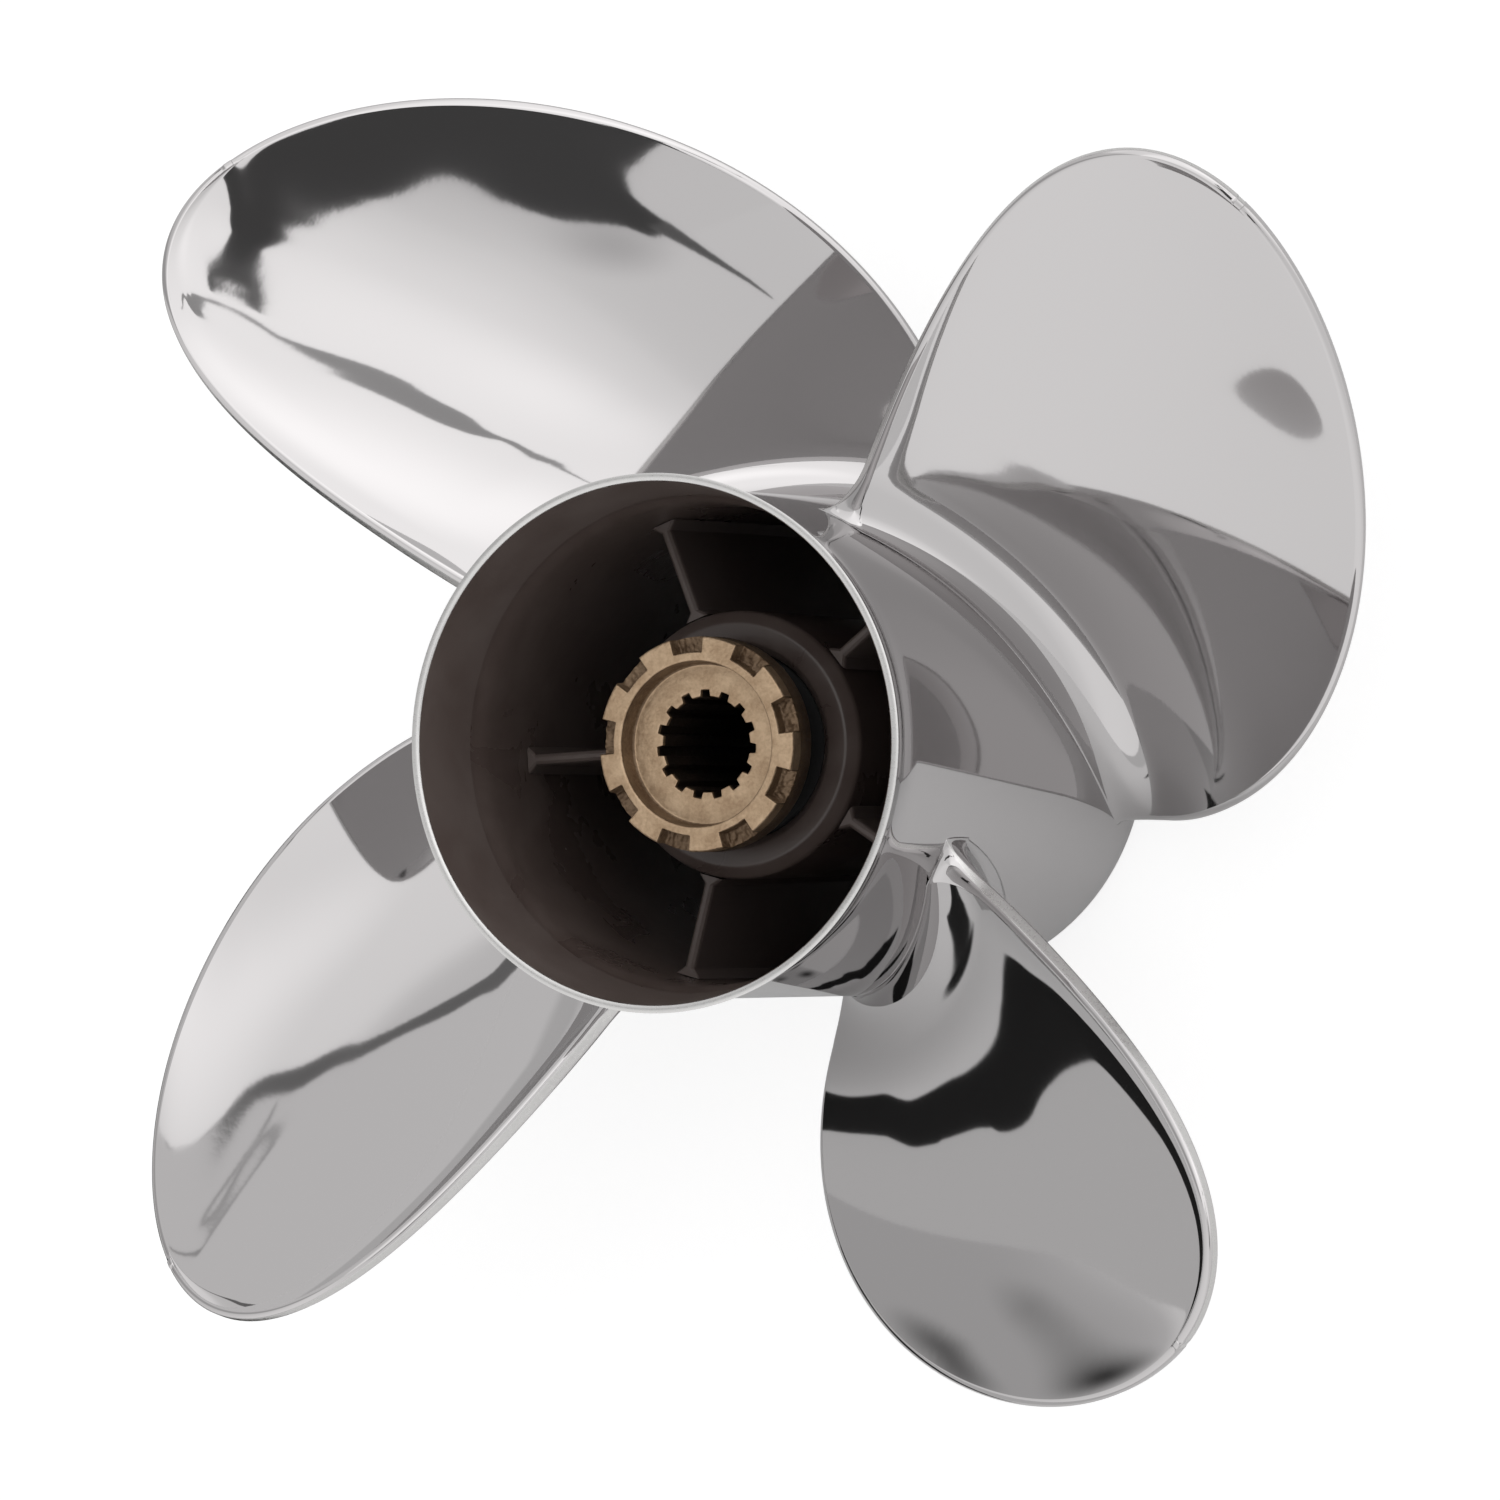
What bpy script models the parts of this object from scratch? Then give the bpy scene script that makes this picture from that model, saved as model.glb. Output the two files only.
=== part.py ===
"""Four-blade outboard boat propeller with its exhaust led through the hub.

The propeller stands on the forward end of its hub. +Z runs aft along the shaft, so the
flared exhaust end is at the top. Lengths are in metres and angles in degrees or radians
as their names say. The frame's origin is the centre of the hub's forward face.
"""
import math

import bmesh
import bpy

# Hub: a drawn-in nose at the forward end, a straight waist and a short flare aft
HUB_LENGTH = 0.160
NOSE_R = 0.056
WAIST_R = 0.0602
NOSE_LENGTH = 0.055
RIM_R = 0.0635
RIM_LAND = 0.0020
FLARE_LENGTH = 0.018
FLARE_STEP_DEPTH = 0.0235
FLARE_INNER_R = 0.0583
BARREL_WALL = 0.0032
EDGE_BREAK = 0.0006

# Inner hub and the ribs that carry it inside the barrel
INNER_AFT_Z = HUB_LENGTH - 0.0446
INNER_FORWARD_Z = 0.012
INNER_AFT_R = 0.0320
INNER_FORWARD_R = 0.0305
INNER_BORE_R = 0.0228
INNER_FACE_R = 0.0291
INNER_CHAMFER = 0.0025
RIB_COUNT = 5
RIB_FIRST_DEG = 38.0
RIB_AFT_Z = HUB_LENGTH - 0.048
RIB_FORWARD_Z = 0.014
RIB_THICKNESS = 0.0026
RIB_FOOT = 0.0020
RIB_EDGE_ROUND_DEG = (0, 35, 70)

# Rubber bush and the bronze splined bush with its castellated head
BUSH_NECK_R = 0.0155
BUSH_FORWARD_Z = 0.0135
BUSH_HEAD_R = 0.0255
BUSH_AFT_Z = HUB_LENGTH - 0.0233
BUSH_HEAD_HEIGHT = 0.0105
BUSH_SHOULDER_HEIGHT = 0.0030
BUSH_SHOULDER_WIDTH = 0.0025
BUSH_SHOULDER_LIP = 0.0015
BUSH_BLANK_R = 0.0070
BUSH_RECESS_R = 0.0197
BUSH_RECESS_FLOOR_Z = HUB_LENGTH - 0.0290
NOTCH_COUNT = 9
NOTCH_FIRST_DEG = 94.5
NOTCH_WIDTH_DEG = 18.6
NOTCH_DEPTH = 0.0037
NOTCH_INNER_R = 0.0218
SPLINE_COUNT = 15
SPLINE_MAJOR_R = 0.01285
SPLINE_MINOR_R = 0.0113
SPLINE_PHASE_DEG = 90.0
SPLINE_FLOOR_SHARE = 0.20
SPLINE_MOUTH_SHARE = 0.29
RUBBER_AFT_Z = INNER_AFT_Z - 0.0030
RUBBER_FORWARD_Z = 0.020

# Blades: sections laid on cylinders, from the root (s = 0) to the tip (s = 1)
BLADE_COUNT = 4
BLADE_FIRST_DEG = 135.0
ROOT_R = 0.0629
TIP_R = 0.1880
ROOT_MID_Z = HUB_LENGTH - 0.0978
RAKE_SLOPE = 0.550
RAKE_CURVE = 0.410
PITCH = (0.4442, 0.0178, 0.1103)
SKEW_DEG = (-22.91, 4.10, 20.58, -6.33)
HALF_CHORD_DEG = (39.14, -5.37, 1.37, -3.87)
TIP_FULLNESS = 1.38
ROOT_BLEND = 0.15
HOLLOW = 0.0012
HOLLOW_RISE = 0.0026
HOLLOW_LEAN = 0.0015
HOLLOW_FADE = 8
CUP_HEIGHT = 0.0009
CUP_WIDTH = 0.014
CUP_START = 0.25
CUP_FADE = 4
ROOT_BULGE = 0.0080
ROOT_BULGE_FADE = 1.2
TIP_BULGE = 0.0008
LEADING_THICKNESS = 0.0016
TRAILING_ROOT_THICKNESS = 0.0040
TRAILING_TIP_THICKNESS = 0.0030
TIP_EDGE_THICKNESS = 0.0026
TIP_EDGE_START = 0.7
FILLET_R = 0.012
FILLET_TANGENCY = 0.97
FILLET_AT_LEADING = 0.3
FILLET_AT_TRAILING = 0.8

# Gap between pieces that touch, because each is a solid of its own
SEAM = 0.0003

# Facets
ROUND_SEGMENTS = 96
BUSH_SEGMENTS = 72
FLARE_STEPS = 5
NOSE_STEPS = 6
BLADE_COLUMNS = 18
EDGE_CROWDING = 0.6
BLADE_ROWS = 13
LAST_ROW_SHARE = 0.25
FILLET_ROWS = 4
FILLET_CROWDING = 1.7
FOOT_STRIPS = 6


def material(name, colour, metallic, roughness):
    """A Principled material of one plain colour."""
    made = bpy.data.materials.new(name)
    made.use_nodes = True
    shader = made.node_tree.nodes["Principled BSDF"]
    shader.inputs["Base Color"].default_value = (*colour, 1.0)
    shader.inputs["Metallic"].default_value = metallic
    shader.inputs["Roughness"].default_value = roughness
    return made


def add_object(name, mesh, finish):
    """Link a mesh as a smooth-shaded object with sharp edges kept."""
    made = bpy.data.objects.new(name, mesh)
    bpy.context.scene.collection.objects.link(made)
    mesh.materials.append(finish)
    mesh.shade_smooth()
    mesh.set_sharp_from_angle(angle=math.radians(30))
    return made


def mesh_from(name, bm):
    """Turn a bmesh into a mesh whose faces point out."""
    bmesh.ops.recalc_face_normals(bm, faces=bm.faces)
    mesh = bpy.data.meshes.new(name)
    bm.to_mesh(mesh)
    bm.free()
    return mesh


def polar(radius, angle, height):
    """A point at an angle (radians) around the shaft."""
    return (radius * math.cos(angle), radius * math.sin(angle), height)


def turned(name, profile, segments, finish):
    """Spin a closed profile of (radius, height) points around the shaft."""
    bm = bmesh.new()
    points = [bm.verts.new((radius, 0.0, height)) for radius, height in profile]
    edges = [bm.edges.new((points[i - 1], points[i])) for i in range(len(points))]
    bmesh.ops.spin(
        bm, geom=points + edges, cent=(0, 0, 0), axis=(0, 0, 1),
        angle=math.tau, steps=segments, use_merge=True, use_duplicate=False,
    )
    bmesh.ops.remove_doubles(bm, verts=bm.verts, dist=1e-6)
    return add_object(name, mesh_from(name, bm), finish)


def barrel_outer(z):
    """Outer radius of the hub at a height: nose, waist, flare."""
    flare_start = HUB_LENGTH - FLARE_LENGTH
    if z < NOSE_LENGTH:
        return WAIST_R - (WAIST_R - NOSE_R) * (1 - max(z, 0.0) / NOSE_LENGTH) ** 2
    if z > flare_start:
        return WAIST_R + (RIM_R - WAIST_R) * ((z - flare_start) / FLARE_LENGTH) ** 2
    return WAIST_R


def barrel_inner(z):
    """Inner radius of the barrel, one wall inside its outer radius."""
    return barrel_outer(z) - BARREL_WALL


def inner_hub_outer(z):
    """Outer radius of the inner hub, which has a little casting draft."""
    share = (z - INNER_FORWARD_Z) / (INNER_AFT_Z - INNER_FORWARD_Z)
    return INNER_FORWARD_R + (INNER_AFT_R - INNER_FORWARD_R) * share


def make_hub_barrel(finish):
    """The barrel from the forward end up to the step inside the flare."""
    top = HUB_LENGTH - FLARE_STEP_DEPTH - SEAM
    heights = [NOSE_LENGTH * i / NOSE_STEPS for i in range(1, NOSE_STEPS + 1)]
    outer = [(barrel_outer(z), z) for z in heights]
    inner = [(barrel_inner(z), z) for z in heights[1::2]]
    profile = [
        (NOSE_R - BARREL_WALL + EDGE_BREAK, 0.0),
        (NOSE_R - EDGE_BREAK, 0.0),
        (barrel_outer(EDGE_BREAK), EDGE_BREAK),
        *outer,
        (WAIST_R, top),
        (WAIST_R - BARREL_WALL, top),
        *reversed(inner),
        (barrel_inner(EDGE_BREAK), EDGE_BREAK),
    ]
    turned("hub_barrel", profile, ROUND_SEGMENTS, finish)


def make_exhaust_flare(finish):
    """The flared exhaust ring at the aft end, with a flat polished land on its rim."""
    bottom = HUB_LENGTH - FLARE_STEP_DEPTH
    start = HUB_LENGTH - FLARE_LENGTH
    outer = [start + FLARE_LENGTH * i / FLARE_STEPS for i in range(FLARE_STEPS + 1)]
    profile = [
        (FLARE_INNER_R, bottom),
        (WAIST_R, bottom),
        *[(barrel_outer(z), z) for z in outer],
        (RIM_R - RIM_LAND, HUB_LENGTH),
    ]
    turned("exhaust_flare", profile, ROUND_SEGMENTS, finish)


def make_inner_hub(finish):
    """The inner hub, whose bore holds the rubber bush."""
    profile = [
        (INNER_BORE_R, INNER_FORWARD_Z),
        (INNER_FORWARD_R, INNER_FORWARD_Z),
        (inner_hub_outer(INNER_AFT_Z - INNER_CHAMFER), INNER_AFT_Z - INNER_CHAMFER),
        (INNER_FACE_R, INNER_AFT_Z),
        (INNER_BORE_R, INNER_AFT_Z),
    ]
    turned("inner_hub", profile, BUSH_SEGMENTS, finish)


def rib_outline(z, half):
    """Half widths across a rib against its radius, from the inner hub to the barrel."""
    start = inner_hub_outer(z) + SEAM
    end = barrel_inner(z) - SEAM
    foot = half + RIB_FOOT
    return [
        (start, foot),
        (start + RIB_FOOT, half),
        (end - RIB_FOOT, half),
        (end, foot),
    ]


def make_rib(index, finish):
    """A radial rib with flared feet and a rounded aft edge."""
    angle = math.radians(RIB_FIRST_DEG + index * 360.0 / RIB_COUNT)
    along = (math.cos(angle), math.sin(angle))
    across = (-along[1], along[0])
    half = RIB_THICKNESS / 2
    heights = [RIB_FORWARD_Z + (NOSE_LENGTH - RIB_FORWARD_Z) * i / 3 for i in range(4)]
    rows = [(z, half) for z in heights]
    for turn in map(math.radians, RIB_EDGE_ROUND_DEG):
        rows.append((RIB_AFT_Z - half * (1 - math.sin(turn)), half * math.cos(turn)))
    bm = bmesh.new()
    loops = []
    for z, width in rows:
        outline = rib_outline(z, width)
        ring = outline + [(radius, -offset) for radius, offset in reversed(outline)]
        loops.append([
            bm.verts.new((radius * along[0] + offset * across[0],
                          radius * along[1] + offset * across[1], z))
            for radius, offset in ring
        ])
    join_loops(bm, loops)
    bm.faces.new(loops[0])
    bm.faces.new(loops[-1])
    name = f"rib_{index + 1}"
    add_object(name, mesh_from(name, bm), finish)


def join_loops(bm, loops):
    """Faces between each closed loop of vertices and the next."""
    for low, high in zip(loops, loops[1:]):
        for i in range(len(low)):
            bm.faces.new((low[i - 1], low[i], high[i], high[i - 1]))


def make_rubber_bush(finish):
    """The rubber ring pressed between the bronze bush and the inner hub."""
    outer = INNER_BORE_R - SEAM
    inner = BUSH_NECK_R + SEAM
    profile = [
        (inner, RUBBER_FORWARD_Z),
        (outer - EDGE_BREAK, RUBBER_FORWARD_Z),
        (outer, RUBBER_FORWARD_Z + EDGE_BREAK),
        (outer, RUBBER_AFT_Z - EDGE_BREAK),
        (outer - EDGE_BREAK, RUBBER_AFT_Z),
        (inner, RUBBER_AFT_Z),
    ]
    turned("rubber_bush", profile, BUSH_SEGMENTS, finish)


def extruded(name, outline, bottom, top):
    """Extrude a closed outline of (x, y) points from bottom to top."""
    bm = bmesh.new()
    face = bm.faces.new([bm.verts.new((x, y, bottom)) for x, y in outline])
    raised = bmesh.ops.extrude_face_region(bm, geom=[face])["geom"]
    moved = [item for item in raised if isinstance(item, bmesh.types.BMVert)]
    bmesh.ops.translate(bm, verts=moved, vec=(0, 0, top - bottom))
    mesh = mesh_from(name, bm)
    made = bpy.data.objects.new(name, mesh)
    bpy.context.scene.collection.objects.link(made)
    return made


def spline_outline():
    """The bore's outline: a groove of trapezium form for each shaft spline."""
    pitch = math.tau / SPLINE_COUNT
    outline = []
    for tooth in range(SPLINE_COUNT):
        middle = math.radians(SPLINE_PHASE_DEG) + tooth * pitch
        corners = (
            (-0.5, SPLINE_MINOR_R), (-SPLINE_MOUTH_SHARE, SPLINE_MINOR_R),
            (-SPLINE_FLOOR_SHARE, SPLINE_MAJOR_R), (SPLINE_FLOOR_SHARE, SPLINE_MAJOR_R),
            (SPLINE_MOUTH_SHARE, SPLINE_MINOR_R),
        )
        for share, radius in corners:
            x, y, _ = polar(radius, middle + share * pitch, 0.0)
            outline.append((x, y))
    return outline


def notch_outline(index):
    """The outline of one notch in the bush's head, wider than the head outward."""
    middle = math.radians(NOTCH_FIRST_DEG + index * 360.0 / NOTCH_COUNT)
    half = math.radians(NOTCH_WIDTH_DEG / 2)
    inner = [polar(NOTCH_INNER_R, middle + side * half, 0.0) for side in (-1, 0, 1)]
    beyond = BUSH_HEAD_R + BUSH_SHOULDER_WIDTH
    outer = [polar(beyond, middle + side * half, 0.0) for side in (1, -1)]
    return [(x, y) for x, y, _ in inner + outer]


def cut(target, cutter):
    """Cut one object by another with an exact Boolean, and hide the cutter."""
    modifier = target.modifiers.new(cutter.name, "BOOLEAN")
    modifier.operation = "DIFFERENCE"
    modifier.solver = "EXACT"
    modifier.object = cutter
    cutter.hide_render = True
    cutter.display_type = "WIRE"


def make_splined_bush(finish):
    """The bronze bush: splined neck, castellated head and a recess for the nut."""
    head_bottom = BUSH_AFT_Z - BUSH_HEAD_HEIGHT
    profile = [
        (BUSH_BLANK_R, BUSH_FORWARD_Z),
        (BUSH_NECK_R, BUSH_FORWARD_Z),
        (BUSH_NECK_R, head_bottom - BUSH_SHOULDER_HEIGHT),
        (BUSH_HEAD_R - BUSH_SHOULDER_WIDTH, head_bottom),
        (BUSH_HEAD_R, head_bottom + BUSH_SHOULDER_LIP),
        (BUSH_HEAD_R, BUSH_AFT_Z - EDGE_BREAK),
        (BUSH_HEAD_R - EDGE_BREAK, BUSH_AFT_Z),
        (BUSH_RECESS_R + EDGE_BREAK, BUSH_AFT_Z),
        (BUSH_RECESS_R, BUSH_AFT_Z - EDGE_BREAK),
        (BUSH_RECESS_R - EDGE_BREAK, BUSH_RECESS_FLOOR_Z),
        (BUSH_BLANK_R, BUSH_RECESS_FLOOR_Z),
    ]
    bush = turned("splined_bush", profile, BUSH_SEGMENTS, finish)
    bore = extruded("spline_cutter", spline_outline(), 0.0, HUB_LENGTH)
    cut(bush, bore)
    for index in range(NOTCH_COUNT):
        outline = notch_outline(index)
        cutter = extruded(f"notch_cutter_{index + 1}", outline, BUSH_AFT_Z - NOTCH_DEPTH, HUB_LENGTH)
        cut(bush, cutter)


def polynomial(coefficients, s):
    """The value at s of a polynomial with rising powers."""
    return sum(value * s ** power for power, value in enumerate(coefficients))


def smooth(value):
    """A smooth step from 0 to 1."""
    value = min(max(value, 0.0), 1.0)
    return value * value * (3 - 2 * value)


def blade_fillet(s, u):
    """How far the root fillet widens the section: less at its ends than at mid-chord."""
    rise = (TIP_R - ROOT_R) * s
    if rise >= FILLET_R:
        return 0.0
    reach = FILLET_TANGENCY * (1 - rise / FILLET_R)
    at_end = FILLET_AT_LEADING if u < 0 else FILLET_AT_TRAILING
    return FILLET_R * (1 - math.sqrt(1 - reach * reach)) * (1 - (1 - at_end) * u * u)


def edge_thickness(s, u):
    """Thickness that the blade's edges have, shared across the chord."""
    trailing = TRAILING_ROOT_THICKNESS + (TRAILING_TIP_THICKNESS - TRAILING_ROOT_THICKNESS) * s
    near_tip = smooth((s - TIP_EDGE_START) / (1 - TIP_EDGE_START))
    trailing += (TIP_EDGE_THICKNESS - trailing) * near_tip
    leading = LEADING_THICKNESS + (TIP_EDGE_THICKNESS - LEADING_THICKNESS) * near_tip
    return leading + (trailing - leading) * smooth((u + 1) / 2)


def bulge(s, u):
    """Thickness that the middle of a section has over its edges, u from -1 to 1."""
    return (ROOT_BULGE * (1 - s) ** ROOT_BULGE_FADE + TIP_BULGE) * (1 - u * u)


def half_thickness(s, u):
    """Half the blade's thickness at a station, u from -1 (leading) to 1 (trailing)."""
    return (edge_thickness(s, u) + bulge(s, u)) / 2 + blade_fillet(s, u)


def camber(s, u, half_length):
    """Height of the section's middle line, for an aft face that is hollow and cupped."""
    depth = HOLLOW + 4 * HOLLOW_RISE * s * (1 - s) + HOLLOW_LEAN * u
    hollow = -depth * (1 - u * u) * (1 - s ** HOLLOW_FADE)
    from_edge = (1 - u) * half_length / CUP_WIDTH
    strength = CUP_HEIGHT * smooth(s / CUP_START) * (1 - s ** CUP_FADE)
    lip = strength * max(0.0, 1 - from_edge) ** 2
    return hollow + lip - strength * (1 + u) / 2 - bulge(s, u) / 2


def blade_point(blade, s, u, side):
    """A point of a blade: side 1 is its aft face, -1 its forward face, 0 between."""
    radius = ROOT_R + (TIP_R - ROOT_R) * s
    lead = polynomial(PITCH, s) / math.tau
    slope = math.atan2(lead, radius)
    opening = math.sqrt(max(0.0, 1 - s ** TIP_FULLNESS))
    half_angle = math.radians(polynomial(HALF_CHORD_DEG, s)) * opening
    half_length = half_angle * math.hypot(radius, lead)
    reach = 1 + blade_fillet(s, math.copysign(1, u)) / half_length
    rise = radius - ROOT_R
    middle_z = ROOT_MID_Z + RAKE_SLOPE * rise + RAKE_CURVE * rise * rise
    offset = camber(s, u, half_length) + side * half_thickness(s, u)
    angle = math.radians(polynomial(SKEW_DEG, s)) + half_angle * u * reach
    angle -= offset * math.sin(slope) / radius
    z = middle_z + lead * half_angle * u * reach + offset * math.cos(slope)
    seat = barrel_outer(z) + SEAM - ROOT_R
    radius += seat * max(0.0, 1 - s / ROOT_BLEND) ** 2
    first = math.radians(BLADE_FIRST_DEG - blade * 360.0 / BLADE_COUNT)
    return polar(radius, angle + first, z)


def blade_stations():
    """Stations from root to tip: close over the fillet, and closing up at the tip."""
    fillet_share = FILLET_R / (TIP_R - ROOT_R)
    stations = [fillet_share * (i / FILLET_ROWS) ** FILLET_CROWDING for i in range(FILLET_ROWS)]
    for i in range(BLADE_ROWS + 1):
        share = 1 - (1 - i / (BLADE_ROWS + LAST_ROW_SHARE)) ** 2
        stations.append(fillet_share + (1 - fillet_share) * share)
    return stations


def blade_columns():
    """Places across the chord from -1 to 1, closer together near both edges."""
    columns = []
    for i in range(BLADE_COLUMNS + 1):
        even = 2 * i / BLADE_COLUMNS - 1
        crowded = math.sin(math.pi / 2 * even)
        columns.append(crowded * EDGE_CROWDING + even * (1 - EDGE_CROWDING))
    return columns


def make_blade(index, finish):
    """One blade as a skin over its sections, closed by a foot and a tip."""
    columns = blade_columns()
    bm = bmesh.new()
    loops = []
    for s in blade_stations():
        ring = [blade_point(index, s, u, 1) for u in columns]
        ring += [blade_point(index, s, u, -1) for u in reversed(columns)]
        loops.append([bm.verts.new(point) for point in ring])
    join_loops(bm, loops)
    close_foot(bm, index, loops[0], columns)
    last = loops[-1]
    count = len(last)
    for i in range(len(columns) - 1):
        bm.faces.new((last[i], last[i + 1], last[count - 2 - i], last[count - 1 - i]))
    name = f"blade_{index + 1}"
    add_object(name, mesh_from(name, bm), finish)


def close_foot(bm, index, root, columns):
    """Close the root with strips that follow the hub's round surface."""
    count = len(root)
    strips = []
    for i, u in enumerate(columns):
        row = [root[i]]
        for step in range(1, FOOT_STRIPS):
            side = 1 - 2 * step / FOOT_STRIPS
            row.append(bm.verts.new(blade_point(index, 0.0, u, side)))
        row.append(root[count - 1 - i])
        strips.append(row)
    for left, right in zip(strips, strips[1:]):
        for j in range(FOOT_STRIPS):
            bm.faces.new((left[j], left[j + 1], right[j + 1], right[j]))
    for row in (strips[0], strips[-1]):
        bm.faces.new(row)


def main():
    for old in list(bpy.data.objects):
        bpy.data.objects.remove(old)
    polished = material("polished_steel", (0.62, 0.61, 0.60), 1.0, 0.08)
    paint = material("exhaust_paint", (0.030, 0.022, 0.020), 0.0, 0.35)
    bronze = material("cast_bronze", (0.48, 0.34, 0.20), 1.0, 0.45)
    rubber = material("black_rubber", (0.012, 0.012, 0.012), 0.0, 0.75)
    make_hub_barrel(polished)
    make_exhaust_flare(polished)
    make_inner_hub(paint)
    for index in range(RIB_COUNT):
        make_rib(index, paint)
    make_rubber_bush(rubber)
    make_splined_bush(bronze)
    for index in range(BLADE_COUNT):
        make_blade(index, polished)


main()
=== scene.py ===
"""The looks of the four-blade outboard propeller: polished skins, cast bush, paint and studio.

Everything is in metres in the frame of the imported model: the propeller stands on its
forward end at z = 0, +Z runs aft along the shaft, and the flared exhaust end is on top. On a
blade, s runs from 0 at the root to 1 at the tip, and u from -1 at the leading edge to 1 at
the trailing edge.
"""
import math

import bmesh
import bpy
import numpy as np
from mathutils import Matrix, Vector
from mathutils import noise as lumpy_noise


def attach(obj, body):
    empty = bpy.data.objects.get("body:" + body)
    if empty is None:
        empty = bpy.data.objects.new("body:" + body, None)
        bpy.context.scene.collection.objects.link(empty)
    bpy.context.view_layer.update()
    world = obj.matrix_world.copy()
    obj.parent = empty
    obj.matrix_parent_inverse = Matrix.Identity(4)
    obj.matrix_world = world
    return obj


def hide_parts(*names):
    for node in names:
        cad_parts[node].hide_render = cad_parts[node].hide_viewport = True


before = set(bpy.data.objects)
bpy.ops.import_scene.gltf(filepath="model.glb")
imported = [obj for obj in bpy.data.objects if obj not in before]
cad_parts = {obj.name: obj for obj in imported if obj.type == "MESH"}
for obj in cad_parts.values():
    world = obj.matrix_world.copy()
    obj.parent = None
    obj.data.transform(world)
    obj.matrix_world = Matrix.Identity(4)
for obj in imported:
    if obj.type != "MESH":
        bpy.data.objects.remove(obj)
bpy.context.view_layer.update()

# Hub, as in the solids
HUB_LENGTH = 0.160
NOSE_R = 0.056
WAIST_R = 0.0602
NOSE_LENGTH = 0.055
RIM_R = 0.0635
RIM_LAND = 0.0020
FLARE_LENGTH = 0.018
FLARE_STEP_DEPTH = 0.0235
FLARE_INNER_R = 0.0583
BARREL_WALL = 0.0032

# Inner hub, as in the solids
INNER_AFT_Z = HUB_LENGTH - 0.0446
INNER_FORWARD_Z = 0.012
INNER_AFT_R = 0.0320
INNER_FORWARD_R = 0.0305
INNER_BORE_R = 0.0228
INNER_FACE_R = 0.0291
INNER_CHAMFER = 0.0025

# Splined bush, as in the solids
BUSH_NECK_R = 0.0155
BUSH_FORWARD_Z = 0.0135
BUSH_HEAD_R = 0.0255
BUSH_AFT_Z = HUB_LENGTH - 0.0233
BUSH_HEAD_HEIGHT = 0.0105
BUSH_RECESS_R = 0.0197
BUSH_RECESS_FLOOR_Z = HUB_LENGTH - 0.0290
NOTCH_COUNT = 9
NOTCH_FIRST_DEG = 94.5
NOTCH_WIDTH_DEG = 18.6
NOTCH_DEPTH = 0.0037
NOTCH_INNER_R = 0.0218
SPLINE_COUNT = 15
SPLINE_MAJOR_R = 0.01285
SPLINE_MINOR_R = 0.0113
SPLINE_PHASE_DEG = 90.0

# Blades, as in the solids
BLADE_COUNT = 4
BLADE_FIRST_DEG = 135.0
ROOT_R = 0.0629
TIP_R = 0.1880
ROOT_MID_Z = HUB_LENGTH - 0.0978
RAKE_SLOPE = 0.550
RAKE_CURVE = 0.410
PITCH = (0.4442, 0.0178, 0.1103)
SKEW_DEG = (-22.91, 4.10, 20.58, -6.33)
HALF_CHORD_DEG = (39.14, -5.37, 1.37, -3.87)
TIP_FULLNESS = 1.38
ROOT_BLEND = 0.15
HOLLOW = 0.0012
HOLLOW_RISE = 0.0026
HOLLOW_LEAN = 0.0015
HOLLOW_FADE = 8
CUP_HEIGHT = 0.0009
CUP_WIDTH = 0.014
CUP_FULL_FROM = 0.25
CUP_FADE = 4
ROOT_BULGE = 0.0080
TIP_BULGE = 0.0008
BULGE_FADE = 1.2
LEADING_THICKNESS = 0.0016
TRAILING_ROOT_THICKNESS = 0.0040
TRAILING_TIP_THICKNESS = 0.0030
FILLET_R = 0.012

# The skins' finer forms. An edge is (aft corner's way out, its way down, forward corner's way
# out, its way down)
TIP_EDGE_THICKNESS = 0.0026
TIP_THICKNESS_FROM = 0.7
LEADING_EDGE = (0.0022, 0.0008, 0.0005, 0.0004)
TRAILING_EDGE = (0.0014, 0.0012, 0.0005, 0.0005)
TIP_EDGE = (0.0018, 0.0010, 0.0005, 0.0004)
TIP_EDGE_FROM = 0.8
FORWARD_CORNER_MOST = 0.9
INSET_BLEND = (0.12, 0.25)
OUTLINE_POINTS = 2400

# Root fillet: its share at the leading edge, and the pointed tail behind the trailing edge
FILLET_AT_LEADING = 0.3
TAIL_SIDE = 0.55
TAIL_REACH = 0.7
TAIL_POINT = 2.0
TAIL_THINNING = 0.7
FOOT_DEPTH = 0.0006

# Fineness of the meshes
COLUMNS = 120
COLUMN_CROWDING = 0.92
EDGE_STEPS = 5
BAND_STEPS = 3
FILLET_ROWS = 16
BLADE_ROWS = 110
FOOT_ROWS = 4
OUTER_SEGMENTS = 512
INNER_SEGMENTS = 256
ROUNDING_STEPS = 4
ROUNDING_MOST = 0.45
SMALL_STEP = 0.001
TINY = 1e-9

# Polished lip: the aft face curls up to its trailing edge, in full from a share of the span
CURL_REACH = 0.0065
CURL_HEIGHT = 0.00042
CURL_FULL_FROM = 0.25

# Hand polishing, by blade: twists as (centre, (xx, xy, yy) per metre, reach), and hollows
# along y as (centre, length, depth, width)
POLISHED_TWISTS = {
    0: (((-0.0965, 0.1290), (0.0, 2.0, 0.25), 0.023),),
    3: (
        ((-0.1066, -0.0741), (0.75, 0.70, -0.75), 0.027),
        ((-0.1205, -0.0840), (0.35, -0.25, 0.25), 0.025),
    ),
}
POLISHED_HOLLOWS = {
    0: (((-0.1203, 0.1384), 0.0147, 0.00018, 0.0050),),
    3: (((-0.1326, -0.0989), 0.0200, 0.000033, 0.0060),),
}

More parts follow.
